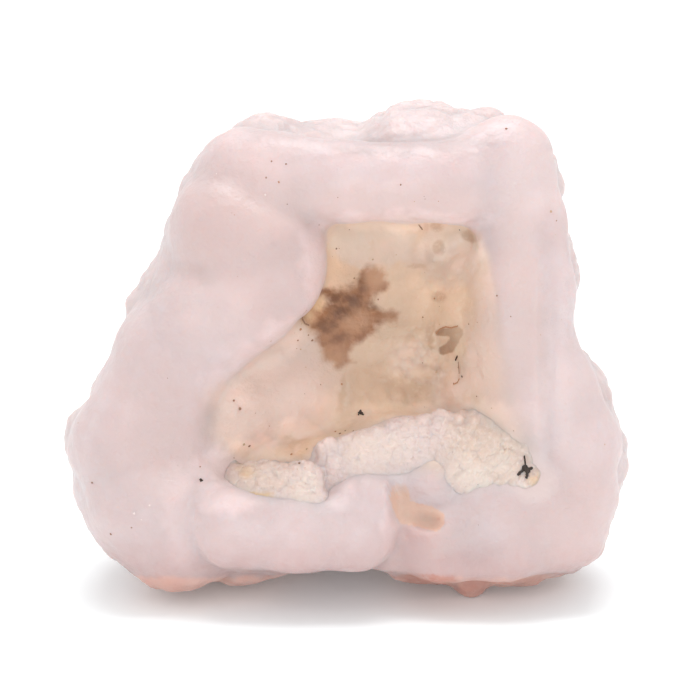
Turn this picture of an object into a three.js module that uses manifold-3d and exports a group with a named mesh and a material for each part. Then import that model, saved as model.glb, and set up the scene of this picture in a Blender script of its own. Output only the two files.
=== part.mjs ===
// A chalcedony nodule: one hollow, thick-walled lump of pink chalcedony that stands on its own base,
// with a rough crust of small quartz crystals on a ledge across the lower part of its hollow.
//
// The forms are worked out in the plane of the hollow's mouth: x runs across, m runs up the mouth and
// d runs out of it. The mouth leans back by LEAN from upright. Lengths are millimetres.

import * as THREE from 'three';
import { mergeVertices } from 'three/addons/utils/BufferGeometryUtils.js';
import Module from 'manifold-3d';

// ---- Driving dimensions ----------------------------------------------------------------------

const LEAN = THREE.MathUtils.degToRad(14);   // how far the mouth leans back
const GROUND = -28.4;                        // height of the ground below the mouth's middle
const MIDDLE = [-0.02, 6.42];                // middle of the finished nodule, across and back
const GAP = 0.3;                             // space between the crust and the chalcedony

// Outline of the widest section, seen along d: [x, m]
const OUTLINE = [
  [25.5, 0.0], [24.5, 3.3], [26.0, 7.6], [25.2, 12.2], [23.7, 16.0], [23.7, 19.9], [21.9, 22.6],
  [19.1, 24.6], [15.6, 26.5], [11.4, 26.0], [8.0, 27.0], [5.3, 27.0], [2.3, 24.7], [-0.9, 24.8],
  [-5.5, 25.5], [-9.7, 26.2], [-12.7, 25.2], [-15.5, 22.2], [-17.2, 19.0], [-19.0, 15.3],
  [-21.4, 10.7], [-23.8, 5.5], [-24.9, 1.0], [-27.3, -4.2], [-30.2, -8.1], [-31.7, -11.4],
  [-30.4, -15.2], [-28.3, -18.7], [-26.9, -22.3], [-23.6, -24.4], [-19.9, -26.0], [-16.0, -25.9],
  [-11.2, -26.8], [-8.0, -26.6], [-4.6, -24.8], [1.4, -24.6], [7.0, -26.6], [13.6, -26.9],
  [20.0, -26.4], [25.6, -25.7], [28.2, -23.8], [29.2, -20.4], [30.7, -16.4], [31.9, -12.4],
  [30.7, -8.8], [29.2, -4.4],
];
const WIDEST = -3.0;                         // depth of the widest section
const FRONT = { reach: 10.0, power: 2.4 };   // how far and how squarely the body bulges to the front
const BACK = { reach: 23.0, power: 2.5 };    // and to the back

// Lobes: [x, m, d, radius across, radius up, radius out, turn in degrees]
const OUTER_LOBES = [
  [9.0, 21.4, -3.5, 9.0, 5.6, 8.5, 0], [-3.0, 20.4, -6.0, 8.0, 4.6, 8.0, 0],          // top
  [-20.8, -23.2, -8.0, 2.5, 4.4, 4.0, -10], [-12.5, -24.6, -2.6, 2.4, 2.5, 3.6, 6],   // feet
  [8.8, -24.6, -1.0, 3.6, 2.2, 3.0, -8], [13.9, -25.2, -3.2, 2.3, 3.6, 3.4, 0],
  [19.6, -23.8, -3.6, 4.4, 3.2, 4.5, 8],
  [-15.0, -17.0, -16.0, 12.0, 9.2, 9.5, 0], [12.0, -17.6, -17.0, 13.0, 9.2, 9.5, 0],  // base
  [-1.0, -15.0, -21.0, 10.0, 8.6, 7.5, 0],
  [-13.5, 6.0, -16.0, 9.0, 9.0, 9.5, 0], [3.0, 14.0, -16.0, 9.5, 9.0, 8.5, 0],        // back
  [12.5, 2.0, -17.0, 10.0, 9.0, 9.5, 0], [-2.5, -3.0, -20.5, 9.0, 8.0, 7.0, 0],
  [21.0, -10.0, -12.0, 8.5, 9.0, 9.0, 0], [-22.0, -8.0, -11.0, 8.0, 9.0, 9.0, 0],
];
const CHAMBERS = [
  [4.6, 5.0, 9.0, 12.0, 10.5, 8.6, 0], [-4.0, -6.0, 8.5, 15.0, 8.5, 8.4, 30],
  [10.5, -5.5, 9.0, 11.6, 9.4, 8.4, 0], [-11.0, -11.0, 8.0, 8.0, 4.5, 6.0, 0],
  [0.7, 10.3, 6.0, 4.1, 4.1, 6.0, 0], [11.6, 10.3, 6.0, 4.1, 4.1, 6.0, 0],
];
const FLOOR_LOBES = [
  [-7.6, -5.4, -5.6, 9.6, 8.4, 8.6, 25], [9.0, -9.0, -5.0, 8.0, 6.0, 6.0, 0],
  [17.5, -5.0, -1.8, 7.5, 6.0, 7.5, 0], [-13.4, -7.4, -2.6, 8.0, 6.6, 7.6, 30],
  [17.0, 3.0, -1.5, 7.5, 10.0, 8.0, 0], [-17.0, -10.6, -0.4, 6.0, 5.4, 6.0, 0],
];
// Lobes on the rim, each with the width over which it melts into the rim
const RIM_LOBES = [
  { lobe: [-10.9, 11.4, 4.6, 9.2, 6.6, 6.0, -32], melt: 2.0 },   // bulge at the upper left
  { lobe: [18.0, -17.2, 3.6, 7.6, 4.2, 4.6, 0], melt: 2.4 },     // slope under the crust's right end
];

// Bent hollow in the sill beside the lower roll's end, and the lobe that hangs over it
const WINDOW = [
  [6.0, -17.5, 8.6, 1.7, 3.0, 3.3, 6], [7.7, -19.0, 8.8, 3.2, 1.8, 3.5, -12],
];
const TONGUE = [9.8, -14.8, 4.4, 3.3, 3.0, 2.8, -12];

// Rolls: chains of [x, m, d, radius], each ball joined to the next
const SILL = [
  [-11.0, -14.5, 0.6, 2.6], [-3.0, -13.8, 2.0, 3.0], [6.0, -11.5, 2.0, 3.5],
  [13.0, -11.8, 2.0, 4.0], [20.0, -14.8, 1.6, 3.4],
];
const TOP_RIGHT = [17.6, 20.2, 4.0, 4.8];
const BOTTOM_RIGHT = [24.0, -20.2, 2.5, 4.8];
const BOTTOM_LEFT = [-19.8, -21.4, 2.0, 4.6];
const LOWER_ROLL = [
  [-12.8, -20.3, 5.6, 4.5], [-6.0, -20.9, 6.4, 4.1], [0.9, -20.8, 6.1, 4.0], [2.1, -17.8, 5.7, 3.7],
];
const RIM = [
  [[-11.4, 19.4, 3.5, 5.0], [-8.0, 18.8, 5.0, 4.8], [0.0, 18.1, 6.0, 4.3], [12.0, 18.0, 6.3, 4.3],
   TOP_RIGHT],
  [TOP_RIGHT, [19.8, 13.6, 5.0, 4.4], [20.8, 6.0, 5.0, 4.3], [20.6, 0.5, 4.5, 4.3],
   [23.0, -5.2, 4.2, 4.7], [25.2, -11.0, 3.5, 5.0], [25.0, -16.6, 3.0, 5.0], BOTTOM_RIGHT],
  [BOTTOM_RIGHT, [17.2, -21.2, 4.8, 4.9], [10.8, -22.0, 4.2, 4.4], [5.4, -21.4, 2.6, 3.7],
   [-6.0, -21.3, 2.4, 3.7], BOTTOM_LEFT],
  [BOTTOM_LEFT, [-22.8, -17.2, 3.0, 6.0], [-25.0, -11.4, 3.0, 5.2], [-22.8, -5.8, 3.4, 4.8],
   [-20.2, -1.6, 4.0, 5.4], [-15.8, 2.3, 5.6, 5.4], [-11.4, 4.4, 6.8, 4.9], [-7.4, 6.6, 6.8, 4.2]],
];
const ROLL_FLATNESS = 0.8;                   // depth of a roll as a share of its width
// Widths over which the forms melt into each other
const MELT = { lobes: 1.5, body: 2.0, chambers: 3.0, mouth: 2.0, floor: 1.5, links: 1.2, rim: 2.4,
  lowerRoll: 1.2, rimFoot: 1.8, rightWall: 8.5, leftWall: 5.5, windowParts: 0.6, window: 0.5,
  tongue: 1.2, ground: 0.4 };

// Small knobs of the outer skin, spread evenly over an ellipsoid about the nodule's middle
const KNOBS = { count: 230, centre: [0.0, -2.0, -7.0], frame: [29.0, 26.0, 19.0], height: 1.0,
  sink: 0.55, smallest: 0.10, spread: 0.10 };
// Knobs that stand out on the outline: [x, m, d, width, height]
const SIDE_KNOBS = [
  [24.2, 17.0, -3.0, 3.0, 0.7], [25.4, 11.9, -3.0, 3.0, 0.5], [26.3, 9.0, -3.0, 2.6, 0.5],
  [25.9, 5.1, -3.0, 2.6, 0.5], [25.4, 2.3, -3.0, 2.2, 0.4], [31.5, -9.5, -3.0, 3.0, 0.5],
  [31.4, -14.5, -3.0, 2.6, 0.4], [29.8, -22.4, -3.0, 3.0, 0.5], [-18.2, 18.8, -3.0, 3.2, 0.3],
  [-20.6, 13.6, -3.0, 2.8, 0.5], [-22.2, 10.2, -3.0, 2.6, 0.5], [-25.0, 4.8, -3.0, 3.0, 0.7],
  [-27.8, -2.2, -3.0, 3.0, 0.5], [-31.2, -8.3, -3.0, 2.6, 0.6], [-30.6, -17.6, -3.0, 3.4, 0.4],
  [10.6, 27.4, -4.0, 3.6, 0.5], [16.6, 26.4, -4.0, 3.0, 0.4], [-9.7, 26.0, -3.0, 3.4, 0.4],
];

// The quartz crust: a rough ridge along the sill, [x, m, d, radius]
const CRUST = [
  [-13.6, -14.2, 3.2, 1.8], [-9.7, -15.2, 4.2, 2.4], [-5.4, -15.8, 5.7, 2.9], [-2.0, -13.9, 5.2, 3.1],
  [1.6, -12.4, 5.2, 3.0], [5.9, -11.0, 5.2, 3.0], [10.4, -10.6, 5.2, 3.3], [14.4, -12.2, 5.0, 4.3],
  [17.8, -13.6, 4.8, 3.9], [21.0, -15.2, 4.8, 2.4],
];

// The faces: rows run from the hollow's middle over the rim to the back, columns run round
const NODULE_FACES = { columns: 116, rows: 36 };
const CRUST_FACES = { columns: 18, rows: 54 };

// ---- Distances -------------------------------------------------------------------------------
// Each form is a function that is negative inside it, nought on its surface, and about the distance
// to it outside.

const { clamp, lerp, degToRad } = THREE.MathUtils;
const FULL_TURN = 2 * Math.PI;
const FAR = 1000;

// The nearer of two forms, melted together over a width.
function melt(a, b, width) {
  const share = clamp(0.5 + (0.5 * (b - a)) / width, 0, 1);
  return lerp(b, a, share) - width * share * (1 - share);
}

// The first form with the second one taken out of it.
function takeOut(a, b, width) {
  return -melt(-a, b, width);
}

// Radius of a closed smooth line through points as a function of the angle about a centre.
function radiusByAngle(points, centre) {
  const steps = 720;
  const corners = points.map(([x, y]) => new THREE.Vector3(x - centre[0], y - centre[1], 0));
  const curve = new THREE.CatmullRomCurve3(corners, true, 'catmullrom', 0.5);
  const line = curve.getPoints(points.length * 12)
    .map((p) => [(Math.atan2(p.y, p.x) + FULL_TURN) % FULL_TURN, Math.hypot(p.x, p.y)])
    .sort((a, b) => a[0] - b[0]);
  const first = line[0];
  const last = line[line.length - 1];
  line.unshift([last[0] - FULL_TURN, last[1]]);
  line.push([first[0] + FULL_TURN, first[1]]);
  const table = [];
  let k = 0;
  for (let i = 0; i <= steps; i++) {
    const angle = (i / steps) * FULL_TURN;
    while (line[k + 1][0] < angle) k++;
    const share = (angle - line[k][0]) / (line[k + 1][0] - line[k][0] || 1);
    table.push(lerp(line[k][1], line[k + 1][1], share));
  }
  return (angle) => {
    const place = ((((angle / FULL_TURN) % 1) + 1) % 1) * steps;
    const low = Math.floor(place);
    return lerp(table[low], table[low + 1], place - low);
  };
}

const outlineRadius = radiusByAngle(OUTLINE, [0, 0]);

// The plain body: the outline, rounded off to the front and to the back.
function body(x, m, d) {
  const r = Math.hypot(x, m);
  const depth = d - WIDEST;
  const { reach, power } = depth > 0 ? FRONT : BACK;
  const wide = (r / outlineRadius(Math.atan2(m, x))) ** power;
  const q = (wide + (Math.abs(depth) / reach) ** power) ** (1 / power);
  return q > 1e-6 ? ((q - 1) * Math.hypot(r, depth)) / q : -10;
}

// An ellipsoid, turned in the plane of the mouth.
function lobe([cx, cm, cd, rx, rm, rd, turn], x, m, d) {
  const c = Math.cos(degToRad(turn));
  const s = Math.sin(degToRad(turn));
  const a = (x - cx) * c + (m - cm) * s;
  const b = (m - cm) * c - (x - cx) * s;
  const e = d - cd;
  const k0 = Math.hypot(a / rx, b / rm, e / rd);
  const k1 = Math.hypot(a / rx ** 2, b / rm ** 2, e / rd ** 2);
  return (k0 * (k0 - 1)) / Math.max(k1, 1e-6);
}

// All lobes of a list, melted together over a width.
function lobes(list, width, x, m, d) {
  return list.reduce((near, part) => melt(near, lobe(part, x, m, d), width), FAR);
}

// A chain of balls of changing size, each joined to the next and flattened in depth.
function roll(balls, x, m, d) {
  const e = d / ROLL_FLATNESS;
  let near = FAR;
  for (let i = 0; i + 1 < balls.length; i++) {
    const [ax, am, ad, ar] = balls[i];
    const [bx, bm, bd, br] = balls[i + 1];
    const run = [bx - ax, bm - am, (bd - ad) / ROLL_FLATNESS];
    const to = [x - ax, m - am, e - ad / ROLL_FLATNESS];
    const along = clamp((to[0] * run[0] + to[1] * run[1] + to[2] * run[2])
      / (run[0] ** 2 + run[1] ** 2 + run[2] ** 2), 0, 1);
    const off = Math.hypot(to[0] - along * run[0], to[1] - along * run[1], to[2] - along * run[2]);
    near = melt(near, off - lerp(ar, br, along), MELT.links);
  }
  return near;
}

// 0 at low, 1 at high, and a smooth step between. Low may be the greater of the two.
function smooth(x, low, high) {
  const t = clamp((x - low) / (high - low), 0, 1);
  return t * t * (3 - 2 * t);
}

// The rim's foot: sharp where the rim laps over the hollow, wide and soft on the walls at both sides.
function rimFoot(x, m) {
  const right = smooth(x, 10, 18) * smooth(x, 24, 20.5) * smooth(m, 17, 5) * smooth(m, -17, -9);
  return MELT.rimFoot + MELT.rightWall * right + MELT.leftWall * smooth(x, -12.5, -18);
}

function heightOverGround(m, d) {
  return m * Math.cos(LEAN) + d * Math.sin(LEAN) - GROUND;
}

// The chalcedony: body and outer lobes, hollowed by the chambers, with floor, sill and rim put in,
// then the window and the tongue over it.
function stone(x, m, d) {
  let near = melt(body(x, m, d), lobes(OUTER_LOBES, MELT.lobes, x, m, d), MELT.body);
  near = takeOut(near, lobes(CHAMBERS, MELT.chambers, x, m, d), MELT.mouth);
  near = melt(near, lobes(FLOOR_LOBES, MELT.lobes, x, m, d), MELT.floor);
  near = melt(near, roll(SILL, x, m, d), MELT.links);
  let rim = RIM.reduce((a, balls) => melt(a, roll(balls, x, m, d), MELT.rim), FAR);
  rim = melt(rim, roll(LOWER_ROLL, x, m, d), MELT.lowerRoll);
  rim = RIM_LOBES.reduce((a, part) => melt(a, lobe(part.lobe, x, m, d), part.melt), rim);
  near = melt(near, rim, rimFoot(x, m));
  near = takeOut(near, lobes(WINDOW, MELT.windowParts, x, m, d), MELT.window);
  near = melt(near, lobe(TONGUE, x, m, d), MELT.tongue);
  return takeOut(near, heightOverGround(m, d), MELT.ground);
}

// ---- The nodule's surface --------------------------------------------------------------------
// A bowl-shaped sheet lies inside the chalcedony. From each of its points a ray leaves, towards the
// hollow, over the rim or to the outside, and the surface is where the ray comes out.

const SHEET = { centre: [-0.3, 3.0], depth: -12.0, edge: 3.0, inside: 0.36, over: 0.58 };
const SHEET_EDGE = [
  [22.8, 0.5], [20.4, 9.5], [18.5, 16.5], [14.0, 18.6], [5.0, 18.4], [-4.0, 18.8], [-12.0, 17.5],
  [-13.0, 12.0], [-13.5, 6.0], [-17.5, 0.5], [-22.0, -5.0], [-25.2, -11.5], [-22.0, -18.0],
  [-13.0, -20.0], [-3.0, -20.8], [6.0, -21.2], [16.0, -21.0], [24.2, -18.2], [25.2, -9.5],
];
const sheetRadius = radiusByAngle(SHEET_EDGE, SHEET.centre);

// Start and direction of the ray at angle u and share v, from the hollow's middle (0) to the back (1).
function ray(u, v) {
  const { centre, depth, edge, inside, over } = SHEET;
  const out = v < inside ? v / inside : v < over ? 1 : 1 - (v - over) / (1 - over);
  const r = sheetRadius(u) * out;
  let rise;
  if (v < inside) rise = 90 + 62 * (v / inside) ** 1.5;
  else if (v < over) rise = lerp(152, -10, (v - inside) / (over - inside));
  else rise = lerp(-10, -90, ((v - over) / (1 - over)) ** 0.9);
  const flat = Math.cos(degToRad(rise));
  return {
    start: [centre[0] + r * Math.cos(u), centre[1] + r * Math.sin(u),
      lerp(depth, edge, out ** 2.2)],
    way: [flat * Math.cos(u), flat * Math.sin(u), Math.sin(degToRad(rise))],
  };
}

function surfacePoint(u, v, level) {
  const { start, way } = ray(u, v);
  let t = 0;
  for (let step = 0; step < 26; step++) {
    const near = stone(start[0] + way[0] * t, start[1] + way[1] * t, start[2] + way[2] * t) - level;
    t += clamp(-near, -2, 4) * 0.85;
  }
  return start.map((s, i) => s + way[i] * t);
}

// Shares v for rows that lie evenly spaced along each column, evened out between the columns.
function evenRows(columns, rows) {
  const coarse = { columns: 96, rows: 160 };
  const along = [];
  for (let i = 0; i < coarse.columns; i++) {
    const u = (i / coarse.columns) * FULL_TURN;
    let last = surfacePoint(u, 0, 0);
    const lengths = [0];
    for (let j = 1; j <= coarse.rows; j++) {
      const next = surfacePoint(u, j / coarse.rows, 0);
      lengths.push(lengths[j - 1] + Math.hypot(...next.map((c, k) => c - last[k])));
      last = next;
    }
    along.push(lengths);
  }
  const reach = 12;
  const weights = [];
  for (let k = -reach; k <= reach; k++) weights.push(Math.exp(-0.5 * (k / 5) ** 2));
  const shares = along.map((_, i) => {
    const smooth = along[0].map((__, j) => weights.reduce((sum, w, k) => {
      const column = (i + k - reach + coarse.columns) % coarse.columns;
      return sum + w * along[column][j];
    }, 0));
    const whole = smooth[coarse.rows];
    const list = [];
    let j = 0;
    for (let row = 0; row <= rows; row++) {
      const want = (row / rows) * whole;
      while (j < coarse.rows - 1 && smooth[j + 1] < want) j++;
      list.push((j + (want - smooth[j]) / (smooth[j + 1] - smooth[j])) / coarse.rows);
    }
    return list;
  });
  return (column, row) => {
    const place = (column / columns) * coarse.columns;
    const low = Math.floor(place);
    const a = shares[low % coarse.columns][row];
    const b = shares[(low + 1) % coarse.columns][row];
    return clamp(lerp(a, b, place - low), 0, 1);
  };
}

// A repeatable number from 0 to 1 for each whole number.
function scatter(i, step, start, scale) {
  const value = Math.sin(i * step + start) * scale;
  return value - Math.floor(value);
}

// Skin knobs: a spiral of directions, evenly spread, each with its own width and height.
const skinKnobs = Array.from({ length: KNOBS.count }, (_, i) => {
  const size = scatter(i, 12.9898, 0, 43758.5453);
  const wander = 0.06 * (scatter(i, 39.425, 4.1, 13758.5453) - 0.5);
  const z = clamp(1 - (2 * (i + 0.5)) / KNOBS.count + wander, -1, 1);
  const a = i * 2.399963 + 0.5 * (scatter(i, 78.233, 1.7, 24634.6345) - 0.5);
  const c = Math.sqrt(1 - z * z);
  return { way: [c * Math.cos(a), c * Math.sin(a), z], width: KNOBS.smallest + KNOBS.spread * size,
    height: 0.35 + 0.65 * size };
});

function skinKnobHeight(point) {
  const way = point.map((c, i) => (c - KNOBS.centre[i]) / KNOBS.frame[i]);
  const length = Math.hypot(...way);
  return skinKnobs.reduce((highest, knob) => {
    const cosine = (way[0] * knob.way[0] + way[1] * knob.way[1] + way[2] * knob.way[2]) / length;
    const dome = clamp(1 - (2 - 2 * cosine) / knob.width ** 2, 0, 1);
    return Math.max(highest, dome * knob.height);
  }, 0);
}

// The surface with its knobs: they stand on the outer skin, fade on the rim, and leave the hollow
// and the resting patches alone.
function withKnobs(point, v) {
  const eps = 0.05;
  const slope = point.map((_, i) => {
    const more = [...point];
    const less = [...point];
    more[i] += eps;
    less[i] -= eps;
    return stone(...more) - stone(...less);
  });
  const steep = Math.hypot(...slope) || 1;
  const outside = THREE.MathUtils.smoothstep(v, 0.50, 0.64);
  let height = skinKnobHeight(point) * KNOBS.height * lerp(0.12, 1, outside) - KNOBS.sink * outside;
  for (const [x, m, d, width, rise] of SIDE_KNOBS) {
    const off = ((point[0] - x) ** 2 + (point[1] - m) ** 2 + (0.6 * (point[2] - d)) ** 2) / width ** 2;
    height += rise * clamp(1 - off, 0, 1) ** 2;
  }
  height *= clamp(heightOverGround(point[1], point[2]) / 1.5, 0, 1);
  height *= 1 - clamp((SHEET.inside - v) / 0.04, 0, 1);
  return point.map((c, i) => c + (slope[i] / steep) * height);
}

// From the frame of the mouth to the standing nodule.
function stand([x, m, d]) {
  return new THREE.Vector3(
    x - MIDDLE[0],
    m * Math.sin(LEAN) - d * Math.cos(LEAN) - MIDDLE[1],
    m * Math.cos(LEAN) + d * Math.sin(LEAN) - GROUND,
  );
}

// A ball's grid of faces, each of its points moved to the place that the function gives.
function shapedBall({ columns, rows }, place) {
  const geometry = new THREE.SphereGeometry(1, columns, rows);
  geometry.deleteAttribute('normal');
  geometry.deleteAttribute('uv');
  const points = geometry.getAttribute('position');
  for (let row = 0; row <= rows; row++) {
    for (let column = 0; column <= columns; column++) {
      const spot = place(column % columns, row);
      points.setXYZ(row * (columns + 1) + column, spot.x, spot.y, spot.z);
    }
  }
  return mergeVertices(geometry, 1e-3);
}

const rowShare = evenRows(NODULE_FACES.columns, NODULE_FACES.rows);

// The nodule's faces at a level over the surface. Points that nearly touch the ground lie flat on it.
function noduleGeometry(level) {
  const restBand = 0.15;
  return shapedBall(NODULE_FACES, (column, row) => {
    const v = rowShare(column, row);
    const point = surfacePoint((column / NODULE_FACES.columns) * FULL_TURN, v, level);
    const spot = stand(withKnobs(point, v));
    if (spot.z < restBand) spot.z = 0;
    return spot;
  });
}

// ---- The quartz crust ------------------------------------------------------------------------
// A tube of changing width along the sill, with rough lumps on it, closed at both ends.

function crustGeometry() {
  const line = new THREE.CatmullRomCurve3(CRUST.map(([x, m, d]) => new THREE.Vector3(x, m, d)));
  const { columns, rows } = CRUST_FACES;
  return shapedBall(CRUST_FACES, (column, row) => {
    const s = row / rows;
    const around = (column / columns) * FULL_TURN;
    const place = s * (CRUST.length - 1);
    const low = Math.min(Math.floor(place), CRUST.length - 2);
    const width = lerp(CRUST[low][3], CRUST[low + 1][3], place - low);
    const ends = Math.sqrt(clamp(1 - (2 * s - 1) ** 6, 0, 1));
    const lumps = 1 + 0.10 * Math.sin(23 * s + 2 * around) + 0.08 * Math.sin(41 * s - 3 * around)
      + 0.05 * Math.sin(67 * s + 5 * around);
    const r = width * ends * lumps;
    const middle = line.getPoint(s);
    const along = line.getTangent(s);
    const side = new THREE.Vector3(0, 0, 1).cross(along).normalize();
    const out = new THREE.Vector3().crossVectors(side, along);
    middle.addScaledVector(side, r * Math.cos(around)).addScaledVector(out, r * Math.sin(around));
    return stand(middle.toArray());
  });
}

// ---- Solids ----------------------------------------------------------------------------------

const wasm = await Module();
wasm.setup();

function solid(geometry) {
  return new wasm.Manifold(new wasm.Mesh({
    numProp: 3,
    vertProperties: new Float32Array(geometry.getAttribute('position').array),
    triVerts: new Uint32Array(geometry.getIndex().array),
  }));
}

function geometryOf(manifold) {
  const mesh = manifold.getMesh();
  const geometry = new THREE.BufferGeometry();
  geometry.setAttribute('position', new THREE.BufferAttribute(mesh.vertProperties, 3));
  geometry.setIndex(new THREE.BufferAttribute(mesh.triVerts, 1));
  return geometry;
}

function piece(name, geometry, finish) {
  geometry.computeVertexNormals();
  const mesh = new THREE.Mesh(geometry, new THREE.MeshStandardMaterial(finish));
  mesh.name = name;
  return mesh;
}

const nodule = noduleGeometry(0);
const crust = solid(crustGeometry()).subtract(solid(noduleGeometry(GAP)));

const specimen = new THREE.Group();
specimen.add(piece('nodule', nodule, { color: 0xeed3d2, roughness: 0.45, metalness: 0 }));
specimen.add(piece('quartz_crust', geometryOf(crust), { color: 0xe9d8cc, roughness: 0.7, metalness: 0 }));

export default specimen;
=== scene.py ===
# A chalcedony nodule: one hollow lump of pale pink chalcedony that stands on its lumpy base, with a
# rough crust of small quartz crystals on a ledge across its hollow.
import math

import bpy
import numpy as np
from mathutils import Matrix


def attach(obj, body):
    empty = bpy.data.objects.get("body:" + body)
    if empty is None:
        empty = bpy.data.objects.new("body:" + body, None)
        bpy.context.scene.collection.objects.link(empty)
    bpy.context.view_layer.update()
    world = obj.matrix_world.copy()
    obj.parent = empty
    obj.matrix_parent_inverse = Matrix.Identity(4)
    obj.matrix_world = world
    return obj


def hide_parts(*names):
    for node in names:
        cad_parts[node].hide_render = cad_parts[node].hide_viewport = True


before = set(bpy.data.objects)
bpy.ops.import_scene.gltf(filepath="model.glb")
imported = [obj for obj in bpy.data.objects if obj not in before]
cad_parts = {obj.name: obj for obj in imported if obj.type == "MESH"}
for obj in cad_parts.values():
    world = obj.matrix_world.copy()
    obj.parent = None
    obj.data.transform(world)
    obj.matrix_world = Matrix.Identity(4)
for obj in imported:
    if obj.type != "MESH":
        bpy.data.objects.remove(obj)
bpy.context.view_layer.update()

# ==== The nodule ================================================================================
# Chalcedony, a waxy and slightly translucent quartz too fine to show its grains, grown from a gel
# as one hollow lump: knobbly outside, a rolled rim round the mouth, and a lobed floor in the hollow.
# The forms are worked out in the plane of the mouth, in millimetres: across, up and out of it.

LEAN = math.radians(14)          # how far the mouth leans back from upright
GROUND = -28.4                   # height of the ground below the mouth's middle
MIDDLE = (-0.02, 6.42)           # middle of the nodule, across and back
MM = 0.001

# Outline of the widest section, seen along the way out of the mouth: (across, up)
OUTLINE = [
    (25.5, 0.0), (24.5, 3.3), (26.0, 7.6), (25.2, 12.2), (23.7, 16.0), (23.7, 19.9), (21.9, 22.6),
    (19.1, 24.6), (15.6, 26.5), (11.4, 26.0), (8.0, 27.0), (5.3, 27.0), (2.3, 24.7), (-0.9, 24.8),
    (-5.5, 25.5), (-9.7, 26.2), (-12.7, 25.2), (-15.5, 22.2), (-17.2, 19.0), (-19.0, 15.3),
    (-21.4, 10.7), (-23.8, 5.5), (-24.9, 1.0), (-27.3, -4.2), (-30.2, -8.1), (-31.7, -11.4),
    (-30.4, -15.2), (-28.3, -18.7), (-26.9, -22.3), (-23.6, -24.4), (-19.9, -26.0), (-16.0, -25.9),
    (-11.2, -26.8), (-8.0, -26.6), (-4.6, -24.8), (1.4, -24.6), (7.0, -26.6), (13.6, -26.9),
    (20.0, -26.4), (25.6, -25.7), (28.2, -23.8), (29.2, -20.4), (30.7, -16.4), (31.9, -12.4),
    (30.7, -8.8), (29.2, -4.4),
]
WIDEST = -3.0                    # how far out the widest section lies
FRONT = (10.0, 2.4)              # bulge to the front: reach, and power of its curve
BACK = (23.0, 2.5)               # and to the back

# Lobes: centre across, up and out, radii across, up and out, turn in degrees
OUTER_LOBES = [
    (9.0, 21.4, -3.5, 9.0, 5.6, 8.5, 0), (-3.0, 20.4, -6.0, 8.0, 4.6, 8.0, 0),          # top
    (-20.8, -23.2, -8.0, 2.5, 4.4, 4.0, -10), (-12.5, -24.6, -2.6, 2.4, 2.5, 3.6, 6),   # feet
    (8.8, -24.6, -1.0, 3.6, 2.2, 3.0, -8), (13.9, -25.2, -3.2, 2.3, 3.6, 3.4, 0),
    (19.6, -23.8, -3.6, 4.4, 3.2, 4.5, 8),
    (-15.0, -17.0, -16.0, 12.0, 9.2, 9.5, 0), (12.0, -17.6, -17.0, 13.0, 9.2, 9.5, 0),  # base
    (-1.0, -15.0, -21.0, 10.0, 8.6, 7.5, 0),
    (-13.5, 6.0, -16.0, 9.0, 9.0, 9.5, 0), (3.0, 14.0, -16.0, 9.5, 9.0, 8.5, 0),        # back
    (12.5, 2.0, -17.0, 10.0, 9.0, 9.5, 0), (-2.5, -3.0, -20.5, 9.0, 8.0, 7.0, 0),
    (21.0, -10.0, -12.0, 8.5, 9.0, 9.0, 0), (-22.0, -8.0, -11.0, 8.0, 9.0, 9.0, 0),
]
CHAMBERS = [
    (4.6, 5.0, 9.0, 12.0, 10.5, 8.6, 0), (-4.0, -6.0, 8.5, 15.0, 8.5, 8.4, 30),
    (10.5, -5.5, 9.0, 11.6, 9.4, 8.4, 0), (-11.0, -11.0, 8.0, 8.0, 4.5, 6.0, 0),
    (0.7, 10.3, 6.0, 4.1, 4.1, 6.0, 0), (11.6, 10.3, 6.0, 4.1, 4.1, 6.0, 0),
]
FLOOR_LOBES = [
    (-7.6, -5.4, -5.6, 9.6, 8.4, 8.6, 25), (9.0, -9.0, -5.0, 8.0, 6.0, 6.0, 0),
    (17.5, -5.0, -1.8, 7.5, 6.0, 7.5, 0), (-13.4, -7.4, -2.6, 8.0, 6.6, 7.6, 30),
    (17.0, 3.0, -1.5, 7.5, 10.0, 8.0, 0), (-17.0, -10.6, -0.4, 6.0, 5.4, 6.0, 0),
]
# Lobes of the rim, each with the width over which it melts into the rim
RIM_LOBES = [
    ((-10.9, 11.4, 4.6, 9.2, 6.6, 6.0, -32), 2.0),   # bulge at the upper left
    ((18.0, -17.2, 3.6, 7.6, 4.2, 4.6, 0), 2.4),     # slope under the crust's right end
]
# Bent hollow in the sill beside the lower roll's end, and the lobe that hangs over it
WINDOW = [(6.0, -17.5, 8.6, 1.7, 3.0, 3.3, 6), (7.7, -19.0, 8.8, 3.2, 1.8, 3.5, -12)]
TONGUE = (9.8, -14.8, 4.4, 3.3, 3.0, 2.8, -12)
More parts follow.
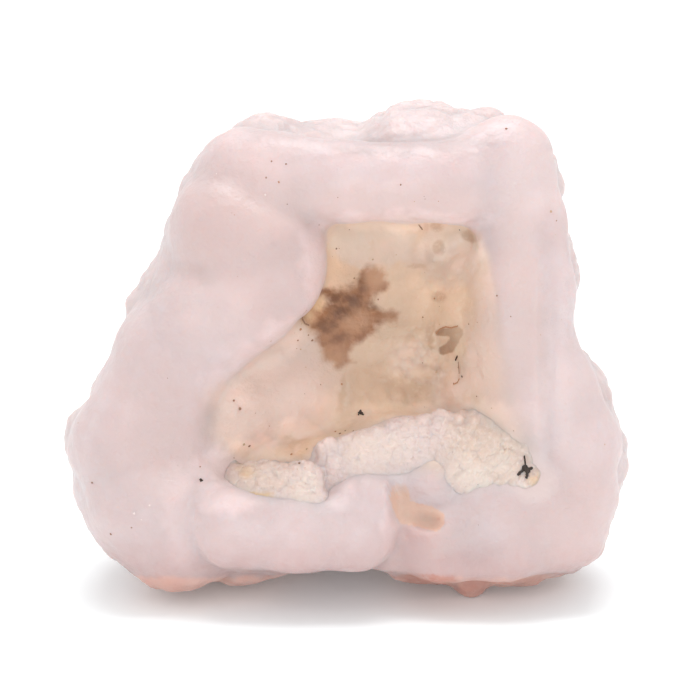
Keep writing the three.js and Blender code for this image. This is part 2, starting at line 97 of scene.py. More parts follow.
# Rolls: chains of balls, (across, up, out, radius)
SILL = [(-11.0, -14.5, 0.6, 2.6), (-3.0, -13.8, 2.0, 3.0), (6.0, -11.5, 2.0, 3.5),
        (13.0, -11.8, 2.0, 4.0), (20.0, -14.8, 1.6, 3.4)]
TOP_RIGHT = (17.6, 20.2, 4.0, 4.8)
BOTTOM_RIGHT = (24.0, -20.2, 2.5, 4.8)
BOTTOM_LEFT = (-19.8, -21.4, 2.0, 4.6)
LOWER_ROLL = [(-12.8, -20.3, 5.6, 4.5), (-6.0, -20.9, 6.4, 4.1), (0.9, -20.8, 6.1, 4.0),
              (2.1, -17.8, 5.7, 3.7)]
RIM = [
    [(-11.4, 19.4, 3.5, 5.0), (-8.0, 18.8, 5.0, 4.8), (0.0, 18.1, 6.0, 4.3), (12.0, 18.0, 6.3, 4.3),
     TOP_RIGHT],
    [TOP_RIGHT, (19.8, 13.6, 5.0, 4.4), (20.8, 6.0, 5.0, 4.3), (20.6, 0.5, 4.5, 4.3),
     (23.0, -5.2, 4.2, 4.7), (25.2, -11.0, 3.5, 5.0), (25.0, -16.6, 3.0, 5.0), BOTTOM_RIGHT],
    [BOTTOM_RIGHT, (17.2, -21.2, 4.8, 4.9), (10.8, -22.0, 4.2, 4.4), (5.4, -21.4, 2.6, 3.7),
     (-6.0, -21.3, 2.4, 3.7), BOTTOM_LEFT],
    [BOTTOM_LEFT, (-22.8, -17.2, 3.0, 6.0), (-25.0, -11.4, 3.0, 5.2), (-22.8, -5.8, 3.4, 4.8),
     (-20.2, -1.6, 4.0, 5.4), (-15.8, 2.3, 5.6, 5.4), (-11.4, 4.4, 6.8, 4.9), (-7.4, 6.6, 6.8, 4.2)],
]
ROLL_FLATNESS = 0.8              # how far out a roll stands, as a share of its width
# Widths over which the forms melt into each other
MELT = {"lobes": 1.5, "body": 2.0, "chambers": 3.0, "mouth": 2.0, "floor": 1.5, "links": 1.2, "rim": 2.4,
        "lower roll": 1.2, "rim foot": 1.8, "right wall": 8.5, "left wall": 5.5, "window parts": 0.6,
        "window": 0.5, "tongue": 1.2, "ground": 0.4}
FAR, DEEP = 1000.0, -10.0        # distances that stand for nothing near and for the body's middle
TINY = 1e-6


def melt(a, b, width):
    """The nearer of two forms, melted together: b + (a - b) h - w h (1 - h), where the share h goes
    from 0 to 1 as b - a goes from -w to w."""
    share = np.clip(0.5 + 0.5 * (b - a) / width, 0, 1)
    return b + (a - b) * share - width * share * (1 - share)


def take_out(a, b, width):
    """The first form with the second one taken out of it."""
    return -melt(-a, b, width)


def curve_between(a, b, c, d, t):
    """The Catmull-Rom cubic from b to c, with a before them and d after them:
    (2b + (c - a) t + (2a - 5b + 4c - d) t^2 + (3b - a - 3c + d) t^3) / 2."""
    return 0.5 * (2 * b + (c - a) * t + (2 * a - 5 * b + 4 * c - d) * t**2
                  + (3 * b - a - 3 * c + d) * t**3)


def radius_by_angle(points, centre=(0, 0)):
    """Angles and radii, about a centre, of a closed line through points, twelve steps to each side."""
    around = (np.roll(np.array(points) - centre, k, axis=0)[:, None, :] for k in (1, 0, -1, -2))
    line = curve_between(*around, np.linspace(0, 1, 12, endpoint=False)[None, :, None]).reshape(-1, 2)
    angle = np.arctan2(line[:, 1], line[:, 0]) % math.tau
    order = np.argsort(angle)
    return angle[order], np.hypot(line[:, 0], line[:, 1])[order]


outline_line = radius_by_angle(OUTLINE)


def body(p):
    """The plain body: (q - 1) |p| / q with q the superellipse sum of radius over the outline's radius
    and depth over reach, each to a power."""
    r = np.hypot(p[..., 0], p[..., 1])
    outline = np.interp(np.arctan2(p[..., 1], p[..., 0]) % math.tau, *outline_line, period=math.tau)
    depth = p[..., 2] - WIDEST
    reach = np.where(depth > 0, FRONT[0], BACK[0])
    power = np.where(depth > 0, FRONT[1], BACK[1])
    q = ((r / outline) ** power + (np.abs(depth) / reach) ** power) ** (1 / power)
    return np.where(q > TINY, (q - 1) * np.hypot(r, depth) / np.maximum(q, TINY), DEEP)


def lobe(p, form):
    """An ellipsoid: k0 (k0 - 1) / k1 with k0 = |q / r| and k1 = |q / r^2|, q turned about its centre."""
    centre, radii, turn = np.array(form[:3]), np.array(form[3:6]), math.radians(form[6])
    q = p - centre
    c, s = math.cos(turn), math.sin(turn)
    q = np.stack([q[..., 0] * c + q[..., 1] * s, q[..., 1] * c - q[..., 0] * s, q[..., 2]], -1)
    k0 = np.linalg.norm(q / radii, axis=-1)
    k1 = np.linalg.norm(q / radii**2, axis=-1)
    return k0 * (k0 - 1) / np.maximum(k1, TINY)


def lobes(p, forms, width):
    """All lobes of a list, melted together over a width."""
    near = FAR
    for form in forms:
        near = melt(near, lobe(p, form), width)
    return near


def roll(p, balls):
    """A chain of tapered capsules: the distance to the nearest point of each link, less the radius
    there, in a space stretched outwards so that the roll comes out flatter."""
    stretch = np.array([1, 1, 1 / ROLL_FLATNESS])
    near = FAR
    for ball, next_ball in zip(balls, balls[1:]):
        start, run = ball[:3] * stretch, (np.array(next_ball[:3]) - ball[:3]) * stretch
        to = p * stretch - start
        along = np.clip(to @ run / (run @ run), 0, 1)
        off = np.linalg.norm(to - along[..., None] * run, axis=-1)
        near = melt(near, off - (ball[3] + (next_ball[3] - ball[3]) * along), MELT["links"])
    return near


def smooth(x, low, high):
    """0 below low, 1 above high, and t^2 (3 - 2t) between them."""
    t = np.clip((x - low) / (high - low), 0, 1)
    return t * t * (3 - 2 * t)


def rim_foot(p):
    """Width of the rim's foot: narrow where the rim laps over the hollow, wide on the right-hand wall
    and at the left."""
    x, up = p[..., 0], p[..., 1]
    right = smooth(x, 10, 18) * smooth(x, 24, 20.5) * smooth(up, 17, 5) * smooth(up, -17, -9)
    return MELT["rim foot"] + MELT["right wall"] * right + MELT["left wall"] * smooth(x, -12.5, -18)


def height_over_ground(p):
    """Height of a point of the leaning frame over the ground."""
    return p[..., 1] * math.cos(LEAN) + p[..., 2] * math.sin(LEAN) - GROUND


def rim(p):
    """The rim: its rolls and its lobes, melted together."""
    near = FAR
    for balls in RIM:
        near = melt(near, roll(p, balls), MELT["rim"])
    near = melt(near, roll(p, LOWER_ROLL), MELT["lower roll"])
    for form, width in RIM_LOBES:
        near = melt(near, lobe(p, form), width)
    return near


def stone(p):
    """The chalcedony, negative inside: body and outer lobes, the chambers taken out, then floor,
    sill and rim put in, the window and the tongue over it, and all of it cut off at the ground."""
    near = melt(body(p), lobes(p, OUTER_LOBES, MELT["lobes"]), MELT["body"])
    near = take_out(near, lobes(p, CHAMBERS, MELT["chambers"]), MELT["mouth"])
    near = melt(near, lobes(p, FLOOR_LOBES, MELT["lobes"]), MELT["floor"])
    near = melt(near, roll(p, SILL), MELT["links"])
    near = melt(near, rim(p), rim_foot(p))
    near = take_out(near, lobes(p, WINDOW, MELT["window parts"]), MELT["window"])
    near = melt(near, lobe(p, TONGUE), MELT["tongue"])
    return take_out(near, height_over_ground(p), MELT["ground"])


# A bowl-shaped sheet inside the chalcedony, from which rays go out to the surface
SHEET_CENTRE = (-0.3, 3.0)
SHEET_DEPTH, SHEET_EDGE_OUT = -12.0, 3.0
SHEET_INSIDE, SHEET_OVER = 0.36, 0.58   # shares where the hollow's side ends and the outside starts
# How steeply the rays rise there, in degrees: from the sheet's middle, over its edge, to the outside
RISE_MIDDLE, RISE_EDGE, RISE_OUTSIDE, RISE_BACK = 90, 152, -10, -90
TRACE_STEPS, TRACE_SHARE = 26, 0.85     # a ray's steps, each a share of the distance still left
SHEET_EDGE = [
    (22.8, 0.5), (20.4, 9.5), (18.5, 16.5), (14.0, 18.6), (5.0, 18.4), (-4.0, 18.8), (-12.0, 17.5),
    (-13.0, 12.0), (-13.5, 6.0), (-17.5, 0.5), (-22.0, -5.0), (-25.2, -11.5), (-22.0, -18.0),
    (-13.0, -20.0), (-3.0, -20.8), (6.0, -21.2), (16.0, -21.0), (24.2, -18.2), (25.2, -9.5),
]
sheet_line = radius_by_angle(SHEET_EDGE, SHEET_CENTRE)


def surface(u, v):
    """Points of the stone's surface at angle u and share v, from the hollow's middle (0) over the rim
    to the back (1): a ray leaves the sheet there and goes on by a share of the distance still left."""
    out = np.where(v < SHEET_INSIDE, v / SHEET_INSIDE,
                   np.where(v < SHEET_OVER, 1.0, 1 - (v - SHEET_OVER) / (1 - SHEET_OVER)))
    r = np.interp(u % math.tau, *sheet_line, period=math.tau) * out
    inner = RISE_MIDDLE + (RISE_EDGE - RISE_MIDDLE) * np.clip(v / SHEET_INSIDE, 0, 1) ** 1.5
    over = RISE_EDGE + (RISE_OUTSIDE - RISE_EDGE) * (v - SHEET_INSIDE) / (SHEET_OVER - SHEET_INSIDE)
    back = np.clip((v - SHEET_OVER) / (1 - SHEET_OVER), 0, 1)
    outer = RISE_OUTSIDE + (RISE_BACK - RISE_OUTSIDE) * back**0.9
    rise = np.radians(np.where(v < SHEET_INSIDE, inner, np.where(v < SHEET_OVER, over, outer)))
    start = np.stack([SHEET_CENTRE[0] + r * np.cos(u), SHEET_CENTRE[1] + r * np.sin(u),
                      SHEET_DEPTH + (SHEET_EDGE_OUT - SHEET_DEPTH) * out**2.2], -1)
    way = np.stack([np.cos(rise) * np.cos(u), np.cos(rise) * np.sin(u), np.sin(rise)], -1)
    t = np.zeros(u.shape)
    for _ in range(TRACE_STEPS):
        t += np.clip(-stone(start + way * t[..., None]), -2, 4) * TRACE_SHARE
    return start + way * t[..., None]


BACK_FROM, BACK_TO = 0.55, 0.75  # shares over which the rows thin out towards the back


def even_shares(columns, rows, back_share):
    """Shares v that space the rows evenly along each column: the arc length along each of 96 coarse
    columns, smoothed round the columns by a bell curve, and read backwards at even steps. The back
    counts for only a share of its length, so its rows lie further apart."""
    coarse_columns, coarse_rows, bell_reach, bell_width = 96, 160, 12, 5
    u, v = np.meshgrid(np.arange(coarse_columns) / coarse_columns * math.tau,
                       np.linspace(0, 1, coarse_rows + 1))
    steps = np.linalg.norm(np.diff(surface(u, v), axis=0), axis=-1)
    steps = steps * np.interp(v[1:], (BACK_FROM, BACK_TO), (1, back_share))
    arc = np.vstack([np.zeros(coarse_columns), np.cumsum(steps, 0)])
    offsets = np.arange(-bell_reach, bell_reach + 1)
    arc = sum(math.exp(-0.5 * (k / bell_width) ** 2) * np.roll(arc, -k, 1) for k in offsets)
    arc /= arc[-1]
    even = np.linspace(0, 1, rows + 1)
    shares = np.stack([np.interp(even, arc[:, j], v[:, 0]) for j in range(coarse_columns)], 1)
    place = np.arange(columns) / columns * coarse_columns
    low = np.floor(place).astype(int)
    part = place - low
    return shares[:, low] * (1 - part) + shares[:, (low + 1) % coarse_columns] * part


# Knobs of the outer skin, spread evenly over an ellipsoid about the nodule's middle
KNOB_COUNT = 230
KNOB_CENTRE = np.array([0.0, -2.0, -7.0])
KNOB_FRAME = np.array([29.0, 26.0, 19.0])
KNOB_SMALLEST, KNOB_SPREAD = 0.10, 0.10     # a knob's least width, and what it may be wider by
KNOB_LOWEST = 0.35               # height of the lowest knob, as a share of the highest
KNOB_SINK = 0.55                 # how deep the knobs are set into the skin
GOLDEN_ANGLE = 2.399963
STRAY, TWIST = 0.06, 0.5         # how far a knob may stray along the spiral's axis and round it
# Knobs that stand out on the outline: across, up, out, width, height
SIDE_KNOBS = [
    (24.2, 17.0, -3.0, 3.0, 0.7), (25.4, 11.9, -3.0, 3.0, 0.5), (26.3, 9.0, -3.0, 2.6, 0.5),
    (25.9, 5.1, -3.0, 2.6, 0.5), (25.4, 2.3, -3.0, 2.2, 0.4), (31.5, -9.5, -3.0, 3.0, 0.5),
    (31.4, -14.5, -3.0, 2.6, 0.4), (29.8, -22.4, -3.0, 3.0, 0.5), (-18.2, 18.8, -3.0, 3.2, 0.3),
    (-20.6, 13.6, -3.0, 2.8, 0.5), (-22.2, 10.2, -3.0, 2.6, 0.5), (-25.0, 4.8, -3.0, 3.0, 0.7),
    (-27.8, -2.2, -3.0, 3.0, 0.5), (-31.2, -8.3, -3.0, 2.6, 0.6), (-30.6, -17.6, -3.0, 3.4, 0.4),
    (10.6, 27.4, -4.0, 3.6, 0.5), (16.6, 26.4, -4.0, 3.0, 0.4), (-9.7, 26.0, -3.0, 3.4, 0.4),
]
# Small lumps on and between the knobs: size, height, and the salt that scatters them
SKIN_LUMPS = [(2.8, 0.50, 3), (1.3, 0.24, 7)]
# Patches of small lumps on the hollow's floor: across, up, reach, size and height of a lump
FLOOR_LUMPS = [(8.0, -1.6, 4.4, 1.3, 0.45), (14.0, -2.0, 4.0, 3.0, 0.5), (4.0, -6.0, 4.0, 2.0, 0.35),
               (11.0, 8.5, 5.0, 2.6, 0.35), (2.0, 3.0, 4.5, 3.4, 0.3)]
FLOOR_SALT = 17
# How narrow a lump is, and what is taken off its height to keep the skin where it was
SKIN_DOME, FLOOR_DOME = (1.6, 0.4), (1.5, 0.3)


def skin_knobs(p):
    """Height of the skin's knobs, 0 to 1: the highest of many domes 1 - (angle / width)^2 about the
    directions of a golden spiral, each with a width and a height of its own."""
    way = (p - KNOB_CENTRE) / KNOB_FRAME
    way /= np.linalg.norm(way, axis=-1, keepdims=True)
    i = np.arange(KNOB_COUNT)
    size, turn, wander = (np.sin(i * step + start) * scale % 1.0 for step, start, scale in (
        (12.9898, 0, 43758.5453), (78.233, 1.7, 24634.6345), (39.425, 4.1, 13758.5453)))
    z = np.clip(1 - 2 * (i + 0.5) / KNOB_COUNT + STRAY * (wander - 0.5), -1, 1)
    a = i * GOLDEN_ANGLE + TWIST * (turn - 0.5)
    c = np.sqrt(1 - z * z)
    spots = np.stack([c * np.cos(a), c * np.sin(a), z], -1)
    highest = np.zeros(p.shape[:-1])
    for spot, s in zip(spots, size):
        dome = 1 - (2 - 2 * way @ spot) / (KNOB_SMALLEST + KNOB_SPREAD * s) ** 2
        share = KNOB_LOWEST + (1 - KNOB_LOWEST) * s
        highest = np.maximum(highest, np.clip(dome, 0, 1) * share)
    return highest


def scatter(i, j, k, salt):
    """A repeatable number from 0 to 1 for each cell of a lattice, by mixing the bits of its indices."""
    n = (i * 73856093 ^ j * 19349663 ^ k * 83492791 ^ salt * 2654435761) & 0xFFFFFFFF
    for shift, factor in ((16, 0x45D9F3B), (15, 0x2C1B3C6D)):
        n = ((n ^ (n >> shift)) * factor) & 0xFFFFFFFF
    return (n ^ (n >> 16)) / 0x100000000


def cells(p, size, salt):
    """The cell that each point lies in, one cell about a scattered spot of each lattice cube: its
    distance from the spot in cell sizes, the spot's offset, and the spot's three lattice indices."""
    q = p / size
    home = np.floor(q).astype(np.int64)
    nearest = np.full(q.shape[:-1], FAR)
    offset = np.zeros_like(q)
    index = np.zeros_like(home)
    for di in (-1, 0, 1):
        for dj in (-1, 0, 1):
            for dk in (-1, 0, 1):
                cube = home + (di, dj, dk)
                i, j, k = cube[..., 0], cube[..., 1], cube[..., 2]
                spot = cube + np.stack([scatter(i, j, k, salt + s) for s in range(3)], -1)
                gap = np.linalg.norm(q - spot, axis=-1)
                closer = gap < nearest
                nearest = np.where(closer, gap, nearest)
                offset = np.where(closer[..., None], q - spot, offset)
                index = np.where(closer[..., None], cube, index)
    return nearest, offset, index


def domes(p, size, salt, narrow, level):
    """Small lumps: 1 - narrow gap^2, cut off at nought and less a level, with gap the distance to the
    nearest scattered spot in cell sizes."""
    return np.clip(1 - cells(p, size, salt)[0] ** 2 * narrow, 0, 1) - level


def slope_of(form, p):
    """Unit direction in which a form grows fastest, from differences over a tenth of a millimetre."""
    step = 0.05 * np.eye(3)
    slope = np.stack([form(p + step[k]) - form(p - step[k]) for k in range(3)], -1)
    return slope / np.maximum(np.linalg.norm(slope, axis=-1, keepdims=True), TINY)


def stand(p):
    """From the leaning frame of the mouth, in millimetres, to the standing nodule, in metres."""
    x, up, out = p[..., 0], p[..., 1], p[..., 2]
    return MM * np.stack([
        x - MIDDLE[0], up * math.sin(LEAN) - out * math.cos(LEAN) - MIDDLE[1],
        up * math.cos(LEAN) + out * math.sin(LEAN) - GROUND], -1)


def closed_mesh(name, grid):
    """A closed mesh from a grid of points whose rows run round and whose first and last rows are
    single points: a fan of triangles at each end and four-sided faces between them."""
    rows, columns = grid.shape[0] - 2, grid.shape[1]
    points = np.vstack([grid[:1, 0], grid[1:-1].reshape(-1, 3), grid[-1:, 0]])
    here = 1 + np.arange(columns)
    after = np.roll(here, -1)
    first = np.stack([np.zeros_like(here), here, after], 1)
    low = here[None, :] + columns * np.arange(rows - 1)[:, None]
    low_after = after[None, :] + columns * np.arange(rows - 1)[:, None]
    sides = np.stack([low, low + columns, low_after + columns, low_after], -1).reshape(-1, 4)
    end = columns * (rows - 1)
    last = np.stack([np.full_like(here, len(points) - 1), after + end, here + end], 1)
    mesh = bpy.data.meshes.new(name)
    mesh.from_pydata(points, [], first.tolist() + sides.tolist() + last.tolist())
    mesh.polygons.foreach_set("use_smooth", np.ones(len(mesh.polygons), bool))
    return mesh


def add_piece(name, mesh, finish):
    """Shows a mesh as a piece of the specimen, with its finish."""
    piece = bpy.data.objects.new(name, mesh)
    bpy.context.collection.objects.link(piece)
    mesh.materials.append(finish)
    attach(piece, "root")
    return piece


NODULE_COLUMNS, NODULE_ROWS, BACK_DENSITY = 420, 236, 0.6
nodule_share = even_shares(NODULE_COLUMNS, NODULE_ROWS, BACK_DENSITY)
nodule_angle = np.broadcast_to(np.arange(NODULE_COLUMNS) / NODULE_COLUMNS * math.tau, nodule_share.shape)
skin = surface(nodule_angle, nodule_share)
slope = slope_of(stone, skin)

# The knobs stand on the outer skin, fade on the rim, and leave the hollow and the resting feet alone
SKIN_FADE = (0.50, 0.64)         # shares between which the rim gives way to the outer skin
RIM_KNOBS = 0.12                 # height of the knobs on the rim, as a share of those on the skin
HOLLOW_FADE, FEET_FADE = 0.04, 1.5   # how they fade: a share, and a height over the ground
outside = smooth(nodule_share, *SKIN_FADE)
knob_height = skin_knobs(skin) * (RIM_KNOBS + (1 - RIM_KNOBS) * outside) - KNOB_SINK * outside
for x, up, out, width, rise in SIDE_KNOBS:
    off = (((skin - (x, up, out)) * (1, 1, 0.6)) ** 2).sum(-1) / width**2
    knob_height += rise * np.clip(1 - off, 0, 1) ** 2
knob_height *= 1 - np.clip((SHEET_INSIDE - nodule_share) / HOLLOW_FADE, 0, 1)
for size, rise, salt in SKIN_LUMPS:
    knob_height += rise * outside * domes(skin, size, salt, *SKIN_DOME)
for x, up, reach, size, rise in FLOOR_LUMPS:
    off = (skin[..., 0] - x) ** 2 + (skin[..., 1] - up) ** 2
    inside = smooth(nodule_share, SHEET_INSIDE, 0.30) * np.clip(1 - off / reach**2, 0, 1)
    knob_height += rise * inside * domes(skin, size, FLOOR_SALT, *FLOOR_DOME)
knob_height *= np.clip(height_over_ground(skin) / FEET_FADE, 0, 1)

nodule_grid = stand(skin + slope * knob_height[..., None])
nodule_grid[..., 2] = np.maximum(nodule_grid[..., 2], 0)
nodule_mesh = closed_mesh("chalcedony_nodule", nodule_grid)


class Wire:
    """A socket of a finish. Sums, differences and products of wires and numbers add Math nodes, and
    node() adds any other node."""

    def __init__(self, tree, socket=None):
        self.tree, self.socket = tree, socket

    def node(self, kind, settings=None, sockets=None, output=0):
        """Adds a node, sets its settings and then its sockets, and returns one of its outputs."""
        made = self.tree.nodes.new("ShaderNode" + kind)
        for name, value in (settings or {}).items():
            if name == "stops":
                ramp = made.color_ramp
                ramp.elements[0].position, ramp.elements[0].color = value[0]
                ramp.elements[1].position, ramp.elements[1].color = value[-1]
                for position, color in value[1:-1]:
                    ramp.elements.new(position).color = color
            else:
                setattr(made, name, value)
        for name, value in (sockets or {}).items():
            if isinstance(value, Wire):
                self.tree.links.new(value.socket, made.inputs[name])
            else:
                made.inputs[name].default_value = value
        return Wire(self.tree, made.outputs[output])

    def math(self, operation, *values):
        """A Math node."""
        return self.node("Math", {"operation": operation}, dict(enumerate(values)))

    def __add__(self, other):
        return self.math("ADD", self, other)

    def __radd__(self, other):
        return self.math("ADD", other, self)

    def __sub__(self, other):
        return self.math("SUBTRACT", self, other)

    def __rsub__(self, other):
        return self.math("SUBTRACT", other, self)

    def __mul__(self, other):
        return self.math("MULTIPLY", self, other)

    def __rmul__(self, other):
        return self.math("MULTIPLY", other, self)

    def more(self, other):
        """The greater of two wires."""
        return self.math("MAXIMUM", self, other)

    def shaken(self, noise, amount):
        """The wire, moved up and down by noise about 0.5."""
        return self + (noise - 0.5) * amount

    def step(self, low, high):
        """0 where the wire is at low, 1 where it is at high, and a smooth step between."""
        return self.node("MapRange", {"interpolation_type": "SMOOTHSTEP"},
                         {"Value": self, "From Min": low, "From Max": high})

    def mix(self, color, other):
        """A colour mixed towards another by this share."""
        return self.node("Mix", {"data_type": "RGBA"}, {0: self, 6: color, 7: other}, 2)

    def noise(self, place, scale, detail=3.0, rough=0.5):
        """Noise about 0.5 with features 1 / scale wide, in the units of place."""
        return self.node("TexNoise", {}, {"Vector": place, "Scale": scale, "Detail": detail,
                                          "Roughness": rough})

    def vectors(self, operation, *values):
        """A Vector Math node."""
        return self.node("VectorMath", {"operation": operation}, dict(enumerate(values)))

    def scaled(self, factor):
        """A colour made lighter or darker by a factor."""
        return self.node("VectorMath", {"operation": "SCALE"}, {0: self, "Scale": factor})

    def field(self, name):
        """A number stored on the mesh."""
        return self.node("Attribute", {"attribute_name": name}, output="Fac")

    def part(self, axis):
        """One of the three parts of a vector."""
        return self.node("SeparateXYZ", {}, {0: self}, axis)

    def into(self, shader, name):
        """Feeds the wire into a socket of a shader."""
        self.tree.links.new(self.socket, shader.inputs[name])


def rgb(r, g, b):
    """A colour with its alpha, as sockets want it."""
    return (r, g, b, 1.0)


def new_finish(name, settings):
    """A finish with its shader's own sockets set: the finish, the shader, and a wire to start from."""
    finish = bpy.data.materials.new(name)
    finish.use_nodes = True
    shader = finish.node_tree.nodes["Principled BSDF"]
    for socket, value in settings.items():
        shader.inputs[socket].default_value = value
    return finish, shader, Wire(finish.node_tree)


def in_mouth_frame(wire):
    """Where a point of the standing nodule lies in the leaning frame of the mouth, in millimetres."""
    place = wire.node("TexCoord", output="Object")
    shift = (MIDDLE[0], MIDDLE[1] * math.sin(LEAN) + GROUND * math.cos(LEAN),
             GROUND * math.sin(LEAN) - MIDDLE[1] * math.cos(LEAN))
    return wire.node("Mapping", {}, {"Vector": place, "Location": shift, "Scale": [1 / MM] * 3,
                                     "Rotation": (LEAN - math.pi / 2, 0, 0)})


# Patches of colour: across, up, half width, half height, soft edge, strength. First in the hollow
# The hollow's paler top; its patch at the right corner is also painted light where that corner lies in
# shade
CEILING = [
    (2.4, 11.6, 5.3, 2.9, 0.2, 0.9), (4.0, 13.2, 4.0, 2.4, 0.2, 0.6), (11.8, 10.8, 4.2, 4.2, 0.3, 0.75),
]
LIT_CORNER = [(12.6, 10.2, 2.8, 1.6, 0.5, 0.9), (9.8, 10.9, 1.8, 1.4, 0.5, 0.5)]
PALE_LUMPS = [
    (7.4, -1.6, 2.2, 1.8, 0.7, 0.5), (15.3, -2.4, 2.4, 2.8, 0.3, 0.9), (10.2, -5.0, 1.6, 0.8, 0.6, 0.5),
    (4.4, -8.4, 4.5, 0.9, 0.7, 0.3),
]
# Pinker parts of the hollow, also made lighter as painted light over the shaded lower-left floor and by
# the crust
BLUSH = [
    (-11.0, -4.0, 9.6, 8.8, 0.35, 1.0), (19.4, 1.0, 5.4, 14.0, 0.3, 1.0),
    (9.6, 13.2, 1.6, 0.9, 0.8, 0.5), (13.5, -9.0, 6.0, 3.4, 0.5, 0.7), (11.6, -4.4, 2.6, 2.2, 0.6, 0.8),
]
DEEP_TAN = [
    (7.0, -4.9, 3.6, 1.1, 0.7, 0.9), (2.4, -3.8, 2.6, 2.2, 0.6, 0.6), (10.4, -3.2, 2.4, 1.8, 0.8, 0.5),
    (9.4, 0.6, 0.3, 1.5, 0.8, 1.0), (-0.6, -5.2, 0.5, 2.6, 0.9, 0.7), (-5.6, -11.6, 2.0, 0.9, 0.6, 0.7),
]
MAUVE = [(8.0, 9.9, 1.7, 0.7, 0.8, 0.3)]
# Small spots with firmer edges
SPOTS = [
    (10.3, 10.9, 0.8, 0.8, 0.3, 0.5), (13.9, 12.2, 1.1, 0.7, 0.3, 0.7), (10.2, 5.3, 0.8, 0.6, 0.4, 0.7),
    (7.6, 8.9, 0.9, 0.3, 0.6, 0.6), (9.9, 13.2, 0.9, 0.5, 0.4, 0.7), (8.6, 13.2, 0.4, 0.5, 0.5, 0.4),
    (9.9, -3.0, 0.6, 0.5, 0.5, 0.6), (9.0, 1.2, 0.4, 1.3, 0.6, 0.5), (13.6, 4.0, 0.7, 1.4, 0.6, 0.25),
]
# On the rim and the outside
ROSE = [
    (-11.5, 11.0, 8.0, 10.0, 0.5, 0.8), (24.0, -19.0, 6.0, 6.0, 0.6, 0.4),
    (7.5, -23.0, 3.6, 4.0, 0.5, 0.7), (-20.0, -9.0, 5.0, 8.0, 0.6, 0.6),
]
# Warmer pink that is also painted light, under the top roll and in the crease by the bulge, where shade
# falls
WARM_PAINTED_LIGHT = [(4.0, 15.6, 11.0, 2.2, 0.5, 0.7), (-7.4, 14.4, 3.4, 2.4, 0.6, 0.5)]
DUSKY = [(6.8, -22.6, 2.4, 3.0, 0.5, 0.8), (10.0, -24.8, 5.0, 1.6, 0.5, 0.7)]
# Painted light along the right wall's edge, where a shaded crease lies
WALL_EDGE = [(18.2, 2.5, 2.6, 12.5, 0.6, 0.8)]
# Painted shade: dark salmon on the feet, where the underside lies in shade and light comes through the
# stone
SALMON_PAINTED_SHADE = [
    (9.2, -26.4, 3.4, 0.9, 0.4, 1.0), (14.2, -27.4, 2.4, 1.0, 0.5, 0.7),
    (20.1, -27.0, 2.6, 0.9, 0.5, 0.4), (-20.6, -27.0, 2.6, 1.1, 0.5, 0.35),
]
# Painted light: pale patches that lighten creases on the rim and the left bulge, where shade falls
PALE_CREASE_LIGHT = [
    (24.0, -6.0, 3.6, 6.5, 0.6, 0.5), (20.6, 18.6, 3.4, 4.0, 0.6, 0.6),
    (-15.2, 3.8, 4.4, 3.4, 0.6, 0.45), (-17.0, -14.8, 5.0, 1.6, 0.6, 0.5),
]
# Painted light and shade: lighter where shade falls in creases and gaps, darker where light falls most
PAINTED_LIGHT = [
    (-2.8, 8.6, 2.0, 5.0, 0.5, 0.18), (-10.2, 18.8, 3.6, 2.8, 0.6, 0.13),
    (3.6, 19.0, 10.0, 1.8, 0.5, 0.09), (7.0, 13.6, 9.0, 0.8, 0.8, 0.18),
    (10.4, 4.0, 3.2, 2.8, 0.5, 0.18), (-7.1, 1.1, 2.2, 2.0, 0.5, 0.18),
    (-10.5, -1.9, 2.8, 2.2, 0.5, 0.18), (-13.6, -4.7, 2.4, 2.4, 0.5, 0.15),
    (-2.0, -7.9, 2.2, 2.6, 0.5, 0.16), (-5.4, -10.6, 3.2, 2.0, 0.5, 0.24),
    (-9.9, -12.4, 3.6, 2.0, 0.5, 0.30), (-14.0, -13.2, 2.6, 1.8, 0.5, 0.24),
    (-13.4, -16.8, 3.6, 2.0, 0.5, 0.20), (-1.4, -15.6, 1.8, 2.2, 0.5, 0.20),
    (-18.5, -19.0, 2.0, 4.6, 0.5, 0.13), (4.9, -19.8, 1.0, 5.0, 0.6, 0.12),
    (10.0, -7.5, 8.5, 1.3, 0.6, 0.18), (18.2, -9.0, 1.6, 2.2, 0.6, 0.08),
    (11.0, -3.8, 1.6, 2.6, 0.6, 0.14), (-25.6, -6.2, 2.2, 5.5, 0.6, 0.05),
    (28.0, -15.0, 2.4, 5.0, 0.6, 0.08), (18.8, 15.5, 3.6, 8.0, 0.5, 0.05),
    (23.2, 4.0, 1.5, 13.0, 0.7, 0.08), (-17.0, 8.6, 5.6, 1.6, 0.6, 0.05),
    (-12.6, -13.8, 2.2, 1.6, 0.5, 0.34), (-11.0, 6.4, 5.2, 1.6, 0.7, 0.04),
    (24.5, -20.5, 3.6, 2.8, 0.5, 0.07), (-7.0, -21.5, 8.0, 2.8, 0.5, 0.05),
]
PAINTED_SHADE = [
    (6.5, 22.3, 9.0, 1.0, 0.6, 0.18), (12.0, 26.6, 6.0, 1.2, 0.5, 0.07),
    (-7.0, 24.0, 5.0, 1.8, 0.5, 0.12), (6.5, 9.4, 2.4, 2.2, 0.5, 0.12),
    (-13.6, 17.2, 4.4, 1.8, 0.8, 0.08), (-6.0, 9.8, 3.4, 3.4, 0.8, 0.05),
    (-20.2, 5.1, 3.5, 2.0, 0.5, 0.05), (13.8, -22.1, 4.0, 2.4, 0.5, 0.05),
    (-11.0, -7.9, 2.4, 1.2, 0.6, 0.05),
]
